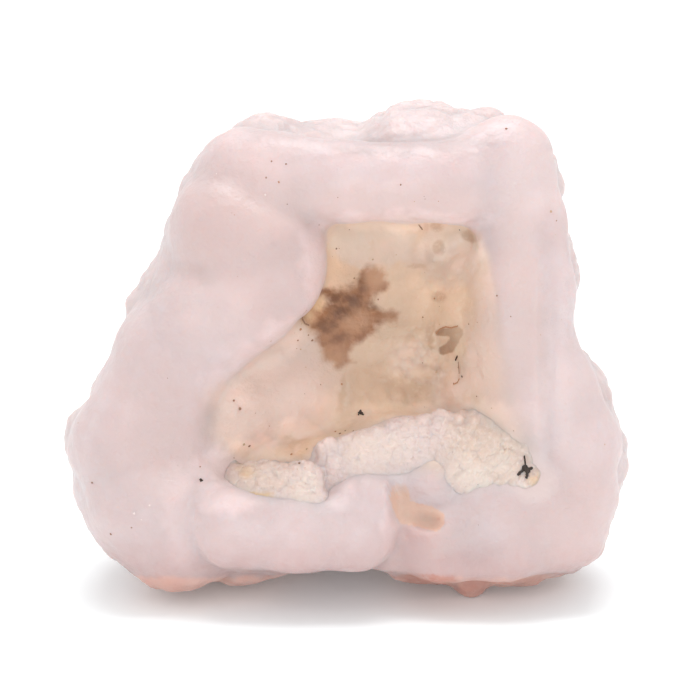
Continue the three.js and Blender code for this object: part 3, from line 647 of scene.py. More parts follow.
# The brown stain's dark cores, its pale, thin places, and the orange halo at its left end
STAIN_CORES = [
    (0.4, 5.1, 1.3, 0.9, 0.8, 1.0), (-1.2, 5.2, 1.2, 0.9, 0.7, 0.9), (-0.6, 3.6, 1.2, 0.8, 0.7, 1.0),
    (-2.4, 2.2, 1.2, 1.0, 0.8, 0.8), (1.5, 6.7, 1.1, 0.9, 0.8, 0.7), (2.3, 4.4, 1.4, 0.5, 0.8, 0.7),
    (-2.9, 6.0, 1.0, 0.35, 0.8, 0.6), (-1.0, 0.9, 1.2, 0.7, 0.9, 0.5),
]
STAIN_THIN = [
    (1.1, 2.7, 1.4, 1.0, 0.6, 0.7), (3.1, 7.7, 1.4, 1.3, 0.6, 0.9), (-1.4, -1.4, 1.8, 1.2, 0.8, 0.5),
    (-4.3, 3.4, 0.9, 1.1, 0.6, 0.9), (4.6, 3.2, 1.0, 0.8, 0.8, 0.4),
]
STAIN_HALO = [(-3.9, 3.8, 1.5, 1.9, 0.5, 0.75)]


def swirled(wire, place, push):
    """A place in the plane of the mouth, pushed about by noise."""
    flat = wire.vectors("MULTIPLY", place, (1, 1, 0))
    swirl = wire.node("TexNoise", {}, {"Vector": place, "Scale": 0.5, "Detail": 4.0}, "Color")
    back = -0.5 * push
    swirl = wire.vectors("MULTIPLY_ADD", swirl, (push, push, 0), (back, back, 0))
    return wire.vectors("ADD", flat, swirl)


def patches(wire, flat, forms):
    """Oval patches in the plane of the mouth, each with its soft edge and its strength."""
    whole = None
    for x, y, wide, tall, edge, strength in forms:
        off = wire.vectors("DIVIDE", wire.vectors("SUBTRACT", flat, (x, y, 0)), (wide, tall, 1))
        off = wire.node("VectorMath", {"operation": "LENGTH"}, {0: off}, "Value")
        patch = off.step(1 + edge, 1 - edge) * strength
        whole = whole.more(patch) if whole else patch
    return whole


def painted(wire, color, flat, coats):
    """A colour with coats laid over it one after another: each a list of patches, and its colour."""
    for forms, coat in coats:
        color = patches(wire, flat, forms).mix(color, rgb(*coat))
    return color


def chalcedony():
    """Pale pink chalcedony: whiter outside, pinker below, tan and stained brown in the hollow."""
    finish, shader, wire = new_finish("chalcedony", {
        "Subsurface Weight": 1.0, "Subsurface Radius": (1.0, 0.6, 0.5), "Subsurface Scale": 0.0030})
    place = in_mouth_frame(wire)
    share, openness, floor_part, stain, curl, bare_sill, sugary = map(wire.field, (
        "share", "openness", "floor_part", "stain", "curl", "bare_sill", "sugary"))
    across, up = place.part("X"), place.part("Y")
    flat, crisp = swirled(wire, place, 3.0), swirled(wire, place, 1.0)
    cloud = wire.noise(place, 0.13, 4.0)
    curdle = wire.noise(place, 0.55, 4.0, 0.6)
    fine = wire.noise(place, 2.6, 3.0, 0.6)
    smoky = wire.noise(place, 0.8, 3.0, 0.5)

    # The rim and the outside: cloudy pink, whiter at the top and pinker at the foot, with darker veils
    color = cloud.step(0.36, 0.64).mix(rgb(0.552, 0.448, 0.443), rgb(0.582, 0.486, 0.488))
    color = (up.shaken(cloud, 12).step(12, 24) * 0.6).mix(color, rgb(0.580, 0.480, 0.485))
    color = up.shaken(curdle, 4).step(-20, -26).mix(color, rgb(0.505, 0.363, 0.353))
    veils = wire.noise(place, 0.30, 5.0, 0.6).step(0.44, 0.60) * 0.5
    color = veils.mix(color, rgb(0.548, 0.432, 0.425))
    # Rose and dusky are the stone's own colour; the warm, pale and wall-edge coats are painted light in
    # shade
    color = painted(wire, color, flat, (
        (ROSE, (0.560, 0.426, 0.408)), (DUSKY, (0.510, 0.370, 0.360)), (WARM_PAINTED_LIGHT, (0.630, 0.492, 0.470)),
        (PALE_CREASE_LIGHT, (0.640, 0.532, 0.525)), (WALL_EDGE, (0.575, 0.455, 0.435))))
    # Painted shade: creases, where little of the surroundings is open, are tinted darker and warmer
    crease_shade = (1 - openness.step(0.2, 0.95)) * 0.8
    color = crease_shade.mix(color, rgb(0.550, 0.400, 0.375))
    frost = share.shaken(curdle, 0.10).step(0.50, 0.62) * up.shaken(curdle, 8).step(-21, -12)
    color = (frost * 0.7).mix(color, rgb(0.590, 0.505, 0.500))

    # The hollow: tan, with patches of its own and small spots
    tan = curdle.step(0.35, 0.65).mix(rgb(0.548, 0.390, 0.280), rgb(0.563, 0.408, 0.302))
    tan = painted(wire, tan, flat, [(BLUSH, (0.585, 0.445, 0.388))])
    tan = floor_part.step(0.98, 0.35).mix(tan, rgb(0.512, 0.394, 0.343))
    tan = painted(wire, tan, flat, (
        (CEILING, (0.545, 0.432, 0.362)), (LIT_CORNER, (0.640, 0.520, 0.450)),
        (PALE_LUMPS, (0.605, 0.455, 0.385))))
    tan = (patches(wire, flat, DEEP_TAN) * curdle.step(0.25, 0.5)).mix(tan, rgb(0.455, 0.300, 0.200))
    tan = painted(wire, tan, flat, [(MAUVE, (0.400, 0.300, 0.275))])
    tan = (patches(wire, crisp, SPOTS) * fine.step(0.2, 0.5)).mix(tan, rgb(0.420, 0.270, 0.185))
    # Painted light: the tan made lighter towards the hollow's top, under the top rim's shade, and on its
    # lower floor
    painted_floor_light = (up - across * 0.15).step(1.5, -6.5) * across.step(-18, -12) * across.step(18, 13)
    tan = tan.scaled(1 + up.step(2, 11) * 0.27 + painted_floor_light * 0.10)

    # The stain over it: brown with darker cores and thin places, an orange halo, and the curl's ring
    smoke = stain.shaken(curdle, 0.6).shaken(smoky, 1.3).step(0.55, -0.60)
    brown = smoky.step(0.30, 0.70).mix(rgb(0.248, 0.096, 0.032), rgb(0.375, 0.175, 0.080))
    cores = patches(wire, crisp, STAIN_CORES) * (0.5 + smoky.step(0.68, 0.40) * 0.5)
    brown = cores.mix(brown, rgb(0.150, 0.052, 0.016))
    brown = painted(wire, brown, crisp, [(STAIN_THIN, (0.470, 0.262, 0.150))])
    tan = painted(wire, tan, crisp, [(STAIN_HALO, (0.600, 0.385, 0.215))])
    tan = (smoke * 0.94).mix(tan, brown)
    grey = (across + up * 0.3).step(10.8, 13.2).mix(rgb(0.340, 0.205, 0.130), rgb(0.460, 0.320, 0.225))
    tan = curl.shaken(fine, 0.25).step(0.16, -0.10).mix(tan, grey)
    color = floor_part.mix(color, tan)

    # The bare sill, and painted light and shade that make the colour lighter or darker in patches
    bare = bare_sill.shaken(fine, 0.5).step(0.12, -0.12) * up.shaken(curdle, 2).step(-15.0, -16.6)
    color = bare.mix(color, rgb(0.630, 0.430, 0.345))
    painted_light_and_shade = 1 + patches(wire, flat, PAINTED_LIGHT) - patches(wire, flat, PAINTED_SHADE)
    color = color.scaled(painted_light_and_shade)

    # Painted light and shade on the underside: a salmon glow of light through the stone, darkest on the
    # feet
    height = wire.node("TexCoord", output="Object").part("Z") * (1 / MM)
    painted_underside_glow = height.shaken(curdle, 2.4).step(3.0, 1.2).more(up.shaken(curdle, 1.5).step(-25.6, -26.3))
    color = painted_underside_glow.mix(color, rgb(0.630, 0.410, 0.358))
    color = painted(wire, color, flat, [(SALMON_PAINTED_SHADE, (0.500, 0.262, 0.215))])
    color.into(shader, "Base Color")
    rough = 0.40 + (wire.noise(place, 0.9, 3.0) - 0.5) * 0.25
    rough.into(shader, "Roughness")
    grain = wire.noise(place, 1.5, 4.0, 0.6) + wire.noise(place, 0.5, 3.0, 0.6) * 2.0
    bump = wire.node("Bump", {}, {"Strength": 0.4, "Distance": 0.0003, "Height": grain})
    bump.into(shader, "Normal")

    # A frosty band next to the crust, which lets no light in
    frosted = sugary.shaken(curdle, 0.5).step(0.15, 0.85)
    frosty = (sugary * 0.5).mix(color, rgb(0.600, 0.480, 0.450))
    dull = wire.node("BsdfPrincipled", {}, {"Base Color": frosty, "Roughness": rough, "Normal": bump})
    both = wire.node("MixShader", {}, {0: frosted, 1: Wire(wire.tree, shader.outputs[0]), 2: dull})
    both.into(finish.node_tree.nodes["Material Output"], "Surface")
    return finish


# Brown stain in the hollow, a smoke of iron oxide: its outline, across and up
STAIN = np.array([
    (-3.2, 6.2), (-2.4, 6.5), (-1.3, 6.2), (-0.3, 6.3), (0.6, 6.7), (1.1, 7.5), (1.4, 8.1), (2.0, 8.6),
    (3.0, 8.9), (3.9, 8.7), (4.2, 7.4), (4.8, 6.8), (4.1, 6.1), (3.4, 5.7), (2.7, 5.1), (2.8, 4.5),
    (3.9, 3.9), (5.6, 3.6), (5.3, 2.8), (4.1, 2.6), (3.1, 2.2), (3.0, 1.5), (1.9, 0.8), (1.0, 0.2),
    (0.1, -0.8), (0.3, -1.5), (0.8, -2.0), (-0.4, -2.1), (-1.2, -2.6), (-2.0, -2.2), (-2.7, -1.7),
    (-3.1, -0.7), (-3.5, 1.1), (-4.4, 1.8), (-5.1, 3.0), (-4.6, 3.9), (-4.2, 4.6),
])
# Where the hollow's colour ends: across and up
HOLLOW = np.array([
    (-6.0, 16.0), (15.0, 16.0), (15.4, 12.0), (16.6, 6.0), (17.2, 0.0), (18.6, -6.0), (21.0, -12.0),
    (19.0, -16.5), (2.0, -13.0), (-10.0, -15.5), (-13.2, -13.4), (-16.2, -10.0), (-15.8, -5.4),
    (-10.0, 3.0), (-4.0, 8.0),
])
# Where the sill shows bare and beige in the hollow beside the roll's end
BARE_SILL = np.array([
    (4.4, -16.6), (4.9, -15.4), (6.3, -15.2), (6.8, -16.1), (6.9, -17.3), (9.3, -17.9), (10.7, -18.7),
    (10.7, -19.8), (9.9, -20.7), (7.6, -20.2), (5.7, -19.8), (5.0, -18.4),
])
STAIN_GAPS = [(-3.1, 4.7, 0.95), (-4.4, 3.2, 0.35)]     # clear spots in it: across, up, radius
# The curl of a smaller grey stain: across, up, radius
CURL = [(10.15, 1.36, 0.33), (11.1, 1.44, 0.43), (12.1, 1.3, 0.69), (11.9, 0.5, 0.5),
        (11.4, -0.3, 0.54), (10.7, -0.6, 0.47)]


def distance_to_outline(p, outline):
    """Distance across and up to a closed outline, negative inside it: the least distance to a side,
    and a point is inside if a line from it crosses an odd number of sides."""
    x, up = p[..., 0], p[..., 1]
    nearest = np.full(x.shape, FAR)
    inside = np.zeros(x.shape, bool)
    for (ax, ay), (bx, by) in zip(outline, np.roll(outline, -1, axis=0)):
        along = np.clip(((x - ax) * (bx - ax) + (up - ay) * (by - ay))
                        / ((bx - ax) ** 2 + (by - ay) ** 2), 0, 1)
        nearest = np.minimum(nearest, np.hypot(x - ax - along * (bx - ax), up - ay - along * (by - ay)))
        crosses = (ay > up) != (by > up)
        inside ^= crosses & (x < ax + (up - ay) * (bx - ax) / (by - ay if by != ay else 1))
    return np.where(inside, -nearest, nearest)


def distance_to_chain(p, balls):
    """Distance across and up to a chain of balls joined by straight links, less the radius there."""
    nearest = np.full(p.shape[:-1], FAR)
    for (ax, ay, ar), (bx, by, br) in zip(balls, balls[1:]):
        x, up, run_x, run_up = p[..., 0] - ax, p[..., 1] - ay, bx - ax, by - ay
        along = np.clip((x * run_x + up * run_up) / (run_x**2 + run_up**2), 0, 1)
        off = np.hypot(x - along * run_x, up - along * run_up) - (ar + (br - ar) * along)
        nearest = np.minimum(nearest, off)
    return nearest


def set_field(mesh, name, grid):
    """Stores a number for each vertex of a closed mesh, from a grid like the mesh's own."""
    values = np.concatenate([grid[:1, 0], grid[1:-1].ravel(), grid[-1:, 0]])
    mesh.attributes.new(name, "FLOAT", "POINT").data.foreach_set("value", values.astype(np.float32))


# What the finish needs to know of each place: how far round the stone it lies, how open it is, how
# far it belongs to the hollow's floor, and how far it is from the bare sill, the stain and the curl
OPEN_REACH = 1.6                 # how far out of the surface its openness is felt for
FRONT_SHARE = 0.45               # share up to which a place can belong to the front
set_field(nodule_mesh, "share", nodule_share)
set_field(nodule_mesh, "openness", np.clip(stone(skin + slope * OPEN_REACH) / OPEN_REACH, 0, 1.2))
in_front = nodule_share < FRONT_SHARE
# The hollow's edge is nearly three times as soft below as above
edge = distance_to_outline(skin, HOLLOW) / (0.7 + 1.3 * smooth(skin[..., 1], 6, -5))
floor_part = smooth(rim(skin), 0.2, 1.2) * smooth(edge, 0.6, -1.2)
set_field(nodule_mesh, "floor_part", in_front * floor_part)
set_field(nodule_mesh, "bare_sill", np.where(in_front, distance_to_outline(skin, BARE_SILL), FAR))
stain = distance_to_outline(skin, STAIN)
for x, up, radius in STAIN_GAPS:
    stain = np.maximum(stain, radius - np.hypot(skin[..., 0] - x, skin[..., 1] - up))
set_field(nodule_mesh, "stain", np.where(in_front, stain, FAR))
set_field(nodule_mesh, "curl", np.where(in_front, distance_to_chain(skin, CURL), FAR))
nodule = add_piece("chalcedony_nodule", nodule_mesh, chalcedony())
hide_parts("nodule")

# ==== The quartz crust ==========================================================================
# Small quartz crystals, grown last and packed into a rough sugary ledge along the sill.
# The ledge is a tube of changing width along a line, its skin broken up into grains with flat faces.

# The line inside the crust that its surface is found from: across, up, out, and the crust's radius
CRUST = np.array([
    (-13.6, -14.2, 3.2, 1.8), (-9.7, -15.2, 4.2, 2.4), (-5.4, -15.8, 5.7, 2.9), (-2.0, -13.9, 5.2, 3.1),
    (1.6, -12.4, 5.2, 3.0), (5.9, -11.0, 5.2, 3.0), (10.4, -10.6, 5.2, 3.3), (14.4, -12.2, 5.0, 4.3),
    (17.8, -13.6, 4.8, 3.9), (22.2, -15.4, 5.2, 2.4),
])
# The ledge and the block at its left end, as rolls: across, up, out, radius
LEDGE = [
    (-1.1, -13.3, 4.3, 2.3), (1.8, -12.2, 4.6, 2.4), (5.9, -11.2, 4.6, 2.35), (10.4, -10.3, 4.6, 2.5),
    (14.4, -12.7, 4.6, 3.8), (17.6, -13.4, 4.8, 3.1), (20.2, -15.1, 6.9, 1.6),
]
# Bead-like lumps along its top: across, up, radius
BEADS = [
    (-2.3, -11.5, 1.1), (0.3, -11.1, 0.9), (1.8, -10.6, 0.8), (3.4, -10.0, 0.9), (5.0, -9.5, 0.9),
    (6.8, -9.2, 0.9), (8.6, -8.8, 1.0), (10.5, -8.4, 1.05), (12.2, -8.6, 0.95), (13.8, -9.0, 0.95),
    (15.4, -9.5, 1.05), (16.7, -10.2, 0.95), (18.0, -10.9, 0.95), (19.1, -12.0, 0.95),
]
BEADS_OUT = 5.0                  # how far out the middles of the beads lie
BLOCK = [(-13.2, -14.4, 4.0, 1.3), (-9.4, -15.3, 5.0, 2.1), (-5.6, -15.6, 5.9, 2.5)]
BLOCK_END = [(-4.5, -14.8, 6.2, 1.6), (-4.1, -17.0, 6.2, 1.5)]
CRUST_MELT = {"block": 0.8, "ledge": 0.9, "bead": 0.25, "foot": 2.3}
FOOT_RISE = 0.26                 # how high the crust's foot lies over the chalcedony
# Lumps and small beads all over it: size of a cell, height, and the salt that scatters them
CRUST_LUMP, CRUST_BEAD = (3.1, 0.60, 51), (1.3, 0.44, 61)
CRUST_SWELL = 0.34               # what the ledge is thicker by, to make up for the dips between them
# Grains with flat faces, small and large: size, height of the tilt, and two salts
SMALL_GRAIN, LARGE_GRAIN = (0.55, 0.13, 11, 31), (2.0, 0.24, 19, 71)


def line_through(points, s):
    """An open line through points at shares s from 0 to 1, with its end points mirrored to give the
    curve a way to leave them."""
    ends = np.vstack([2 * points[0] - points[1], points, 2 * points[-1] - points[-2]])
    place = np.clip(s, 0, 1) * (len(points) - 1)
    low = np.minimum(place.astype(int), len(points) - 2)
    t = (place - low)[..., None]
    return curve_between(*(ends[low + k] for k in range(4)), t)


def crust_rolls(p):
    """The crust without its lumps: ledge and block."""
    block = melt(roll(p, BLOCK), roll(p, BLOCK_END), CRUST_MELT["block"])
    return melt(roll(p, LEDGE), block, CRUST_MELT["ledge"])


def coarseness(x):
    """How coarse the crust is: fine in the middle of the ledge, coarse at its ends and on the block."""
    return 1 - 0.5 * smooth(x, -4, 0) * smooth(x, 10, 6)


def crust_form(p):
    """The crust: ledge and block with lumps all over, each a height times the squared distance to the
    nearest spot in cell sizes, melted into the chalcedony that carries it."""
    near = crust_rolls(p)
    for x, up, radius in BEADS:
        bead = np.linalg.norm(p - (x, up, BEADS_OUT), axis=-1) - radius
        near = melt(near, bead, CRUST_MELT["bead"])
    for (size, rise, salt), share in ((CRUST_LUMP, 1), (CRUST_BEAD, coarseness(p[..., 0]))):
        near = near + share * rise * np.clip(cells(p, size, salt)[0], 0, 1) ** 2
    return melt(near - CRUST_SWELL, stone(p) + FOOT_RISE, CRUST_MELT["foot"])


CRUST_MARGIN = 1.6               # how far the crust may reach past its line's own width
CRUST_STEPS, CRUST_STEP_SHARE = 16, 0.8     # a ray's steps, each a share of the distance left
END_POWER, GRAIN_POWER = 16, 24  # how late the crust is drawn in, and its grains fade, at both ends


def crust_surface(s, around):
    """Points of the crust at share s along its line and angle around it: a ray goes out from the line
    to where the crust ends, and is drawn in at both ends of the line as (1 - (2s - 1)^n)^(1/2)."""
    middle = line_through(CRUST[:, :3], s)
    along = line_through(CRUST[:, :3], s + 0.001) - line_through(CRUST[:, :3], s - 0.001)
    along /= np.linalg.norm(along, axis=-1, keepdims=True)
    side = np.cross((0, 0, 1), along)
    side /= np.linalg.norm(side, axis=-1, keepdims=True)
    out = np.cross(side, along)
    way = side * np.cos(around)[..., None] + out * np.sin(around)[..., None]
    limit = np.interp(s * (len(CRUST) - 1), np.arange(len(CRUST)), CRUST[:, 3]) + CRUST_MARGIN
    reach = np.zeros(s.shape)
    for _ in range(CRUST_STEPS):
        step = crust_form(middle + way * reach[..., None]) * CRUST_STEP_SHARE
        reach = np.clip(reach - step, 0, limit)
    reach *= np.sqrt(np.clip(1 - (2 * s - 1) ** END_POWER, 0, 1))
    return middle + way * reach[..., None], way


def tilted(p, size, rise, salt, tilt_salt):
    """Flat faces, each tilted its own way: the offset from the nearest spot times a scattered tilt. Also
    the distance from that spot in cell sizes, and its lattice indices."""
    distance, offset, index = cells(p, size, salt)
    cell = np.moveaxis(index, -1, 0)
    tilt = np.stack([scatter(*cell, tilt_salt + axis) - 0.5 for axis in range(3)], -1)
    return rise * (offset * tilt).sum(-1), distance, cell


CRUST_COLUMNS, CRUST_ROWS = 150, 560
s, around = np.meshgrid(np.linspace(0, 1, CRUST_ROWS + 1),
                        np.arange(CRUST_COLUMNS) / CRUST_COLUMNS * math.tau, indexing="ij")
crust_skin, crust_way = crust_surface(s, around)
faces, distance, cell = tilted(crust_skin, *SMALL_GRAIN)
grain = faces + 0.05 * scatter(*cell, 41) - 0.05 * distance**2
grain += coarseness(crust_skin[..., 0]) * tilted(crust_skin, *LARGE_GRAIN)[0]
grain *= 1 - (2 * s - 1) ** GRAIN_POWER
crust_grid = crust_skin + crust_way * grain[..., None]
crust_mesh = closed_mesh("quartz_crust_ledge", stand(crust_grid))
SUGARY_REACH = 2.4               # how far from the crust the chalcedony is frosted
sugary = np.clip(1 - crust_rolls(skin) / SUGARY_REACH, 0, 1)
set_field(nodule_mesh, "sugary", np.where(in_front, sugary, 0))

# Patches of colour on the crust, given like those on the chalcedony
CREAM = [(15.5, -11.5, 5.2, 4.8, 0.5, 1.0), (-9.6, -14.6, 4.4, 2.4, 0.5, 0.7)]
BRIGHT = [
    (14.2, -15.0, 1.7, 1.5, 0.5, 1.0), (19.8, -16.2, 1.5, 0.6, 0.5, 1.0),
    (12.6, -13.4, 1.2, 1.6, 0.6, 0.6), (16.8, -13.2, 1.6, 1.2, 0.6, 0.6),
    (-4.6, -15.6, 1.5, 2.0, 0.4, 0.6), (3.6, -11.4, 4.4, 2.2, 0.6, 0.5),
]
AMBER = [
    (-9.9, -17.0, 1.6, 0.5, 0.6, 0.8), (-11.2, -14.0, 1.0, 0.6, 0.7, 0.5),
    (20.9, -14.9, 0.7, 1.0, 0.9, 0.55), (18.4, -16.6, 1.4, 0.4, 0.7, 0.5),
]


def sugary_quartz():
    """White to cream quartz grains, glossier than the chalcedony."""
    finish, shader, wire = new_finish("sugary_quartz", {
        "Subsurface Weight": 1.0, "Subsurface Radius": (1.0, 0.7, 0.55), "Subsurface Scale": 0.0010})
    place = in_mouth_frame(wire)
    flat = swirled(wire, place, 2.5)
    grains = wire.noise(place, 1.8, 5.0, 0.7)
    color = wire.noise(place, 0.22, 4.0).step(0.42, 0.62).mix(
        rgb(0.620, 0.510, 0.490), rgb(0.625, 0.505, 0.465))
    color = painted(wire, color, flat, [(CREAM, (0.605, 0.485, 0.415))])
    color = (grains.step(0.50, 0.66) * 0.6).mix(color, rgb(0.670, 0.565, 0.530))
    color = (grains.step(0.48, 0.34) * 0.6).mix(color, rgb(0.570, 0.440, 0.395))
    color = painted(wire, color, flat, (
        (BRIGHT, (0.680, 0.575, 0.515)), (AMBER, (0.640, 0.430, 0.240))))
    color.into(shader, "Base Color")
    rough = 0.35 + wire.noise(place, 2.0, 2.0) * 0.3
    rough.into(shader, "Roughness")
    grain = wire.noise(place, 3.5, 3.0, 0.6)
    bump = wire.node("Bump", {}, {"Strength": 0.5, "Distance": 0.0002, "Height": grain})
    bump.into(shader, "Normal")
    return finish


crust = add_piece("quartz_crust_ledge", crust_mesh, sugary_quartz())
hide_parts("quartz_crust")

# ==== The dark grains ===========================================================================
# Tiny grains of iron and manganese oxide that sit on the stone: brown and black specks, thin lines of
# them at the edges of its stains, a black star at the crust's right end, and a few white sparks and
# scars of quartz.

BLACK, UMBER, RUST, OCHRE, WHITE = 0.0, 0.25, 0.5, 0.75, 1.0
# Specks: across, up, radius, tint
SPECKS = [
    (12.3, -2.5, 0.08, UMBER), (11.8, -4.3, 0.10, UMBER), (14.3, -5.7, 0.11, UMBER),
    (14.6, 0.1, 0.12, OCHRE), (13.4, 2.3, 0.09, UMBER), (8.4, 3.1, 0.10, UMBER),
    (8.4, -2.0, 0.09, UMBER), (9.9, -3.0, 0.24, OCHRE), (6.0, -4.6, 0.14, RUST),
    (15.9, -7.0, 0.10, OCHRE), (14.4, 12.4, 0.16, RUST), (10.7, 9.3, 0.14, RUST),
    (12.5, 12.9, 0.11, BLACK), (15.9, 9.6, 0.14, RUST), (13.1, 8.8, 0.12, UMBER),
    (14.5, 7.3, 0.12, UMBER), (16.4, 5.4, 0.10, UMBER), (17.9, 3.1, 0.08, UMBER),
    (12.5, 5.3, 0.11, UMBER), (10.2, 6.1, 0.09, OCHRE), (9.7, 5.2, 0.12, RUST), (3.4, 5.1, 0.11, UMBER),
    (2.8, 9.6, 0.12, OCHRE), (0.7, 7.5, 0.10, UMBER), (4.1, -6.3, 0.09, UMBER), (2.2, 0.6, 0.11, UMBER),
    (-0.7, -4.4, 0.12, RUST), (7.9, 10.2, 0.08, OCHRE), (1.4, -7.4, 0.20, BLACK),
    (1.3, -7.6, 0.20, BLACK), (1.5, -7.65, 0.20, BLACK), (1.2, -7.8, 0.12, BLACK),
    (1.7, -7.8, 0.12, BLACK), (-1.4, -9.7, 0.13, RUST), (-0.9, -9.9, 0.16, UMBER),
    (-0.3, -9.6, 0.12, UMBER), (0.2, -9.8, 0.15, UMBER), (0.6, -9.6, 0.10, UMBER),
    (-5.4, -13.1, 0.15, UMBER), (-6.3, -12.2, 0.14, RUST), (-4.6, -11.6, 0.14, OCHRE),
    (-5.3, 1.7, 0.16, RUST), (-4.4, 1.1, 0.10, UMBER), (-4.0, 0.5, 0.12, UMBER),
    (-5.6, 0.5, 0.11, UMBER), (-5.3, -0.5, 0.09, OCHRE), (-3.2, 13.3, 0.12, UMBER),
    (-1.3, 10.8, 0.12, UMBER), (-8.5, 0.4, 0.09, OCHRE), (-8.4, 20.2, 0.11, UMBER),
    (-6.8, 19.9, 0.13, UMBER), (-9.0, 18.4, 0.10, UMBER), (-7.6, 17.9, 0.13, RUST),
    (-1.1, 16.2, 0.09, UMBER), (-6.7, 15.5, 0.11, UMBER), (-12.1, 7.5, 0.11, RUST),
    (-12.9, 9.9, 0.09, UMBER), (-11.6, 2.9, 0.13, UMBER), (-23.9, 0.0, 0.17, RUST),
    (5.8, 17.6, 0.10, UMBER), (17.5, 23.9, 0.14, UMBER), (20.1, 18.4, 0.10, UMBER),
    (22.4, 14.7, 0.17, OCHRE), (23.0, 13.7, 0.13, UMBER), (22.9, 12.2, 0.13, OCHRE),
    (24.7, 10.8, 0.12, OCHRE), (20.4, -2.9, 0.11, UMBER), (19.4, -7.8, 0.10, UMBER),
    (18.3, -9.5, 0.10, UMBER), (28.4, -11.0, 0.12, OCHRE), (20.4, -24.5, 0.09, UMBER),
    (-16.3, -15.0, 0.30, BLACK), (-16.4, -13.5, 0.13, UMBER), (-18.8, -13.3, 0.13, UMBER),
    (-18.9, -10.3, 0.14, UMBER), (-26.3, -21.0, 0.13, UMBER), (-23.9, -20.2, 0.12, UMBER),
    (-11.0, -11.3, 0.15, UMBER), (-11.6, -11.1, 0.16, OCHRE), (-12.0, -7.1, 0.16, UMBER),
    (-12.7, -6.2, 0.12, UMBER), (-30.0, -8.7, 0.14, OCHRE), (-28.4, -15.3, 0.12, UMBER),
    (-11.1, -20.2, 0.10, UMBER), (-9.1, 16.5, 0.13, WHITE), (-14.5, 18.9, 0.14, WHITE),
    (-23.6, -18.6, 0.16, WHITE), (-21.9, -17.7, 0.15, WHITE), (-22.8, -19.3, 0.12, WHITE),
]
# Lines of them: the radius, the tint, and points across and up
LINES = [
    (0.10, BLACK, [(12.2, -1.2), (12.0, -1.7)]),
    (0.11, BLACK, [(12.7, -3.5), (12.9, -3.8), (13.1, -3.6)]),
    (0.07, RUST, [(12.4, -3.8), (12.2, -4.2), (11.8, -4.4)]),
    (0.05, UMBER, [(12.3, -1.9), (12.4, -3.2)]),
    (0.09, RUST, [(9.9, 1.3), (10.3, 1.8), (10.9, 2.0), (11.5, 1.9), (12.2, 2.1)]),
    (0.07, UMBER, [(7.2, 9.2), (7.9, 8.3), (8.6, 8.1)]), (0.09, UMBER, [(7.9, 13.4), (8.3, 12.9)]),
    (0.09, UMBER, [(-6.8, 13.7), (-5.8, 13.3), (-5.0, 12.9), (-4.2, 12.5)]),
    (0.11, UMBER, [(-4.6, 3.8), (-5.0, 3.4), (-5.1, 2.9), (-4.8, 2.4), (-4.4, 2.2)]),
    (0.10, BLACK, [(19.5, -12.3), (19.6, -13.2)]), (0.32, BLACK, [(19.5, -13.5), (19.8, -13.9)]),
    (0.18, BLACK, [(19.3, -13.8), (18.8, -14.3)]), (0.20, BLACK, [(19.8, -13.8), (20.3, -13.6)]),
    (0.16, BLACK, [(19.8, -14.1), (19.7, -14.6)]),
    (0.08, WHITE, [(-22.2, -14.4), (-20.5, -14.9), (-17.0, -15.3)]),
    (0.08, WHITE, [(-20.5, -17.5), (-19.5, -16.8), (-17.7, -16.3), (-16.5, -15.6)]),
]


def line_of_specks(radius, tint, points):
    """Specks a little less than their own radius apart along a bent line."""
    points = np.array(points)
    run = np.concatenate([[0], np.cumsum(np.linalg.norm(np.diff(points, axis=0), axis=1))])
    along = np.linspace(0, run[-1], int(run[-1] / radius) + 2)
    across, up = np.interp(along, run, points[:, 0]), np.interp(along, run, points[:, 1])
    return np.stack([across, up, np.full_like(along, radius), np.full_like(along, tint)], 1)


BEFORE_STONE = 16.0              # how far out of the mouth nothing of the stone is left
LANDING_STEPS, LANDING_SHARE = 60, 0.8


def landing(across, up):
    """Where a line that comes in along the mouth's axis meets the stone or the crust."""
    p = np.stack([across, up, np.full_like(across, BEFORE_STONE)], -1)
    for _ in range(LANDING_STEPS):
        p[..., 2] -= LANDING_SHARE * np.clip(np.minimum(stone(p), crust_form(p)), -1, 4)
    return p


# Dust: specks scattered over the whole front
DUST_COUNT, DUST_ACROSS, DUST_UP = 90, 24, 22
chance = np.random.default_rng(5)
dust = np.stack([chance.uniform(-DUST_ACROSS, DUST_ACROSS, DUST_COUNT),
                 chance.uniform(-DUST_UP, DUST_UP, DUST_COUNT),
                 chance.uniform(0.04, 0.08, DUST_COUNT),
                 chance.choice([UMBER, UMBER, RUST, OCHRE], DUST_COUNT)], 1)
specks = np.vstack([SPECKS, dust] + [line_of_specks(*line) for line in LINES])
spots = landing(specks[:, 0], specks[:, 1])
normal = slope_of(lambda p: np.minimum(stone(p), crust_form(p)), spots)
# Only where the stone faces out of the mouth, and not far down its outer sides
FACING, FURTHEST_BACK = 0.25, -4
seen = (normal[:, 2] > FACING) & (spots[:, 2] > FURTHEST_BACK)
specks, spots, normal = specks[seen], spots[seen], normal[seen]

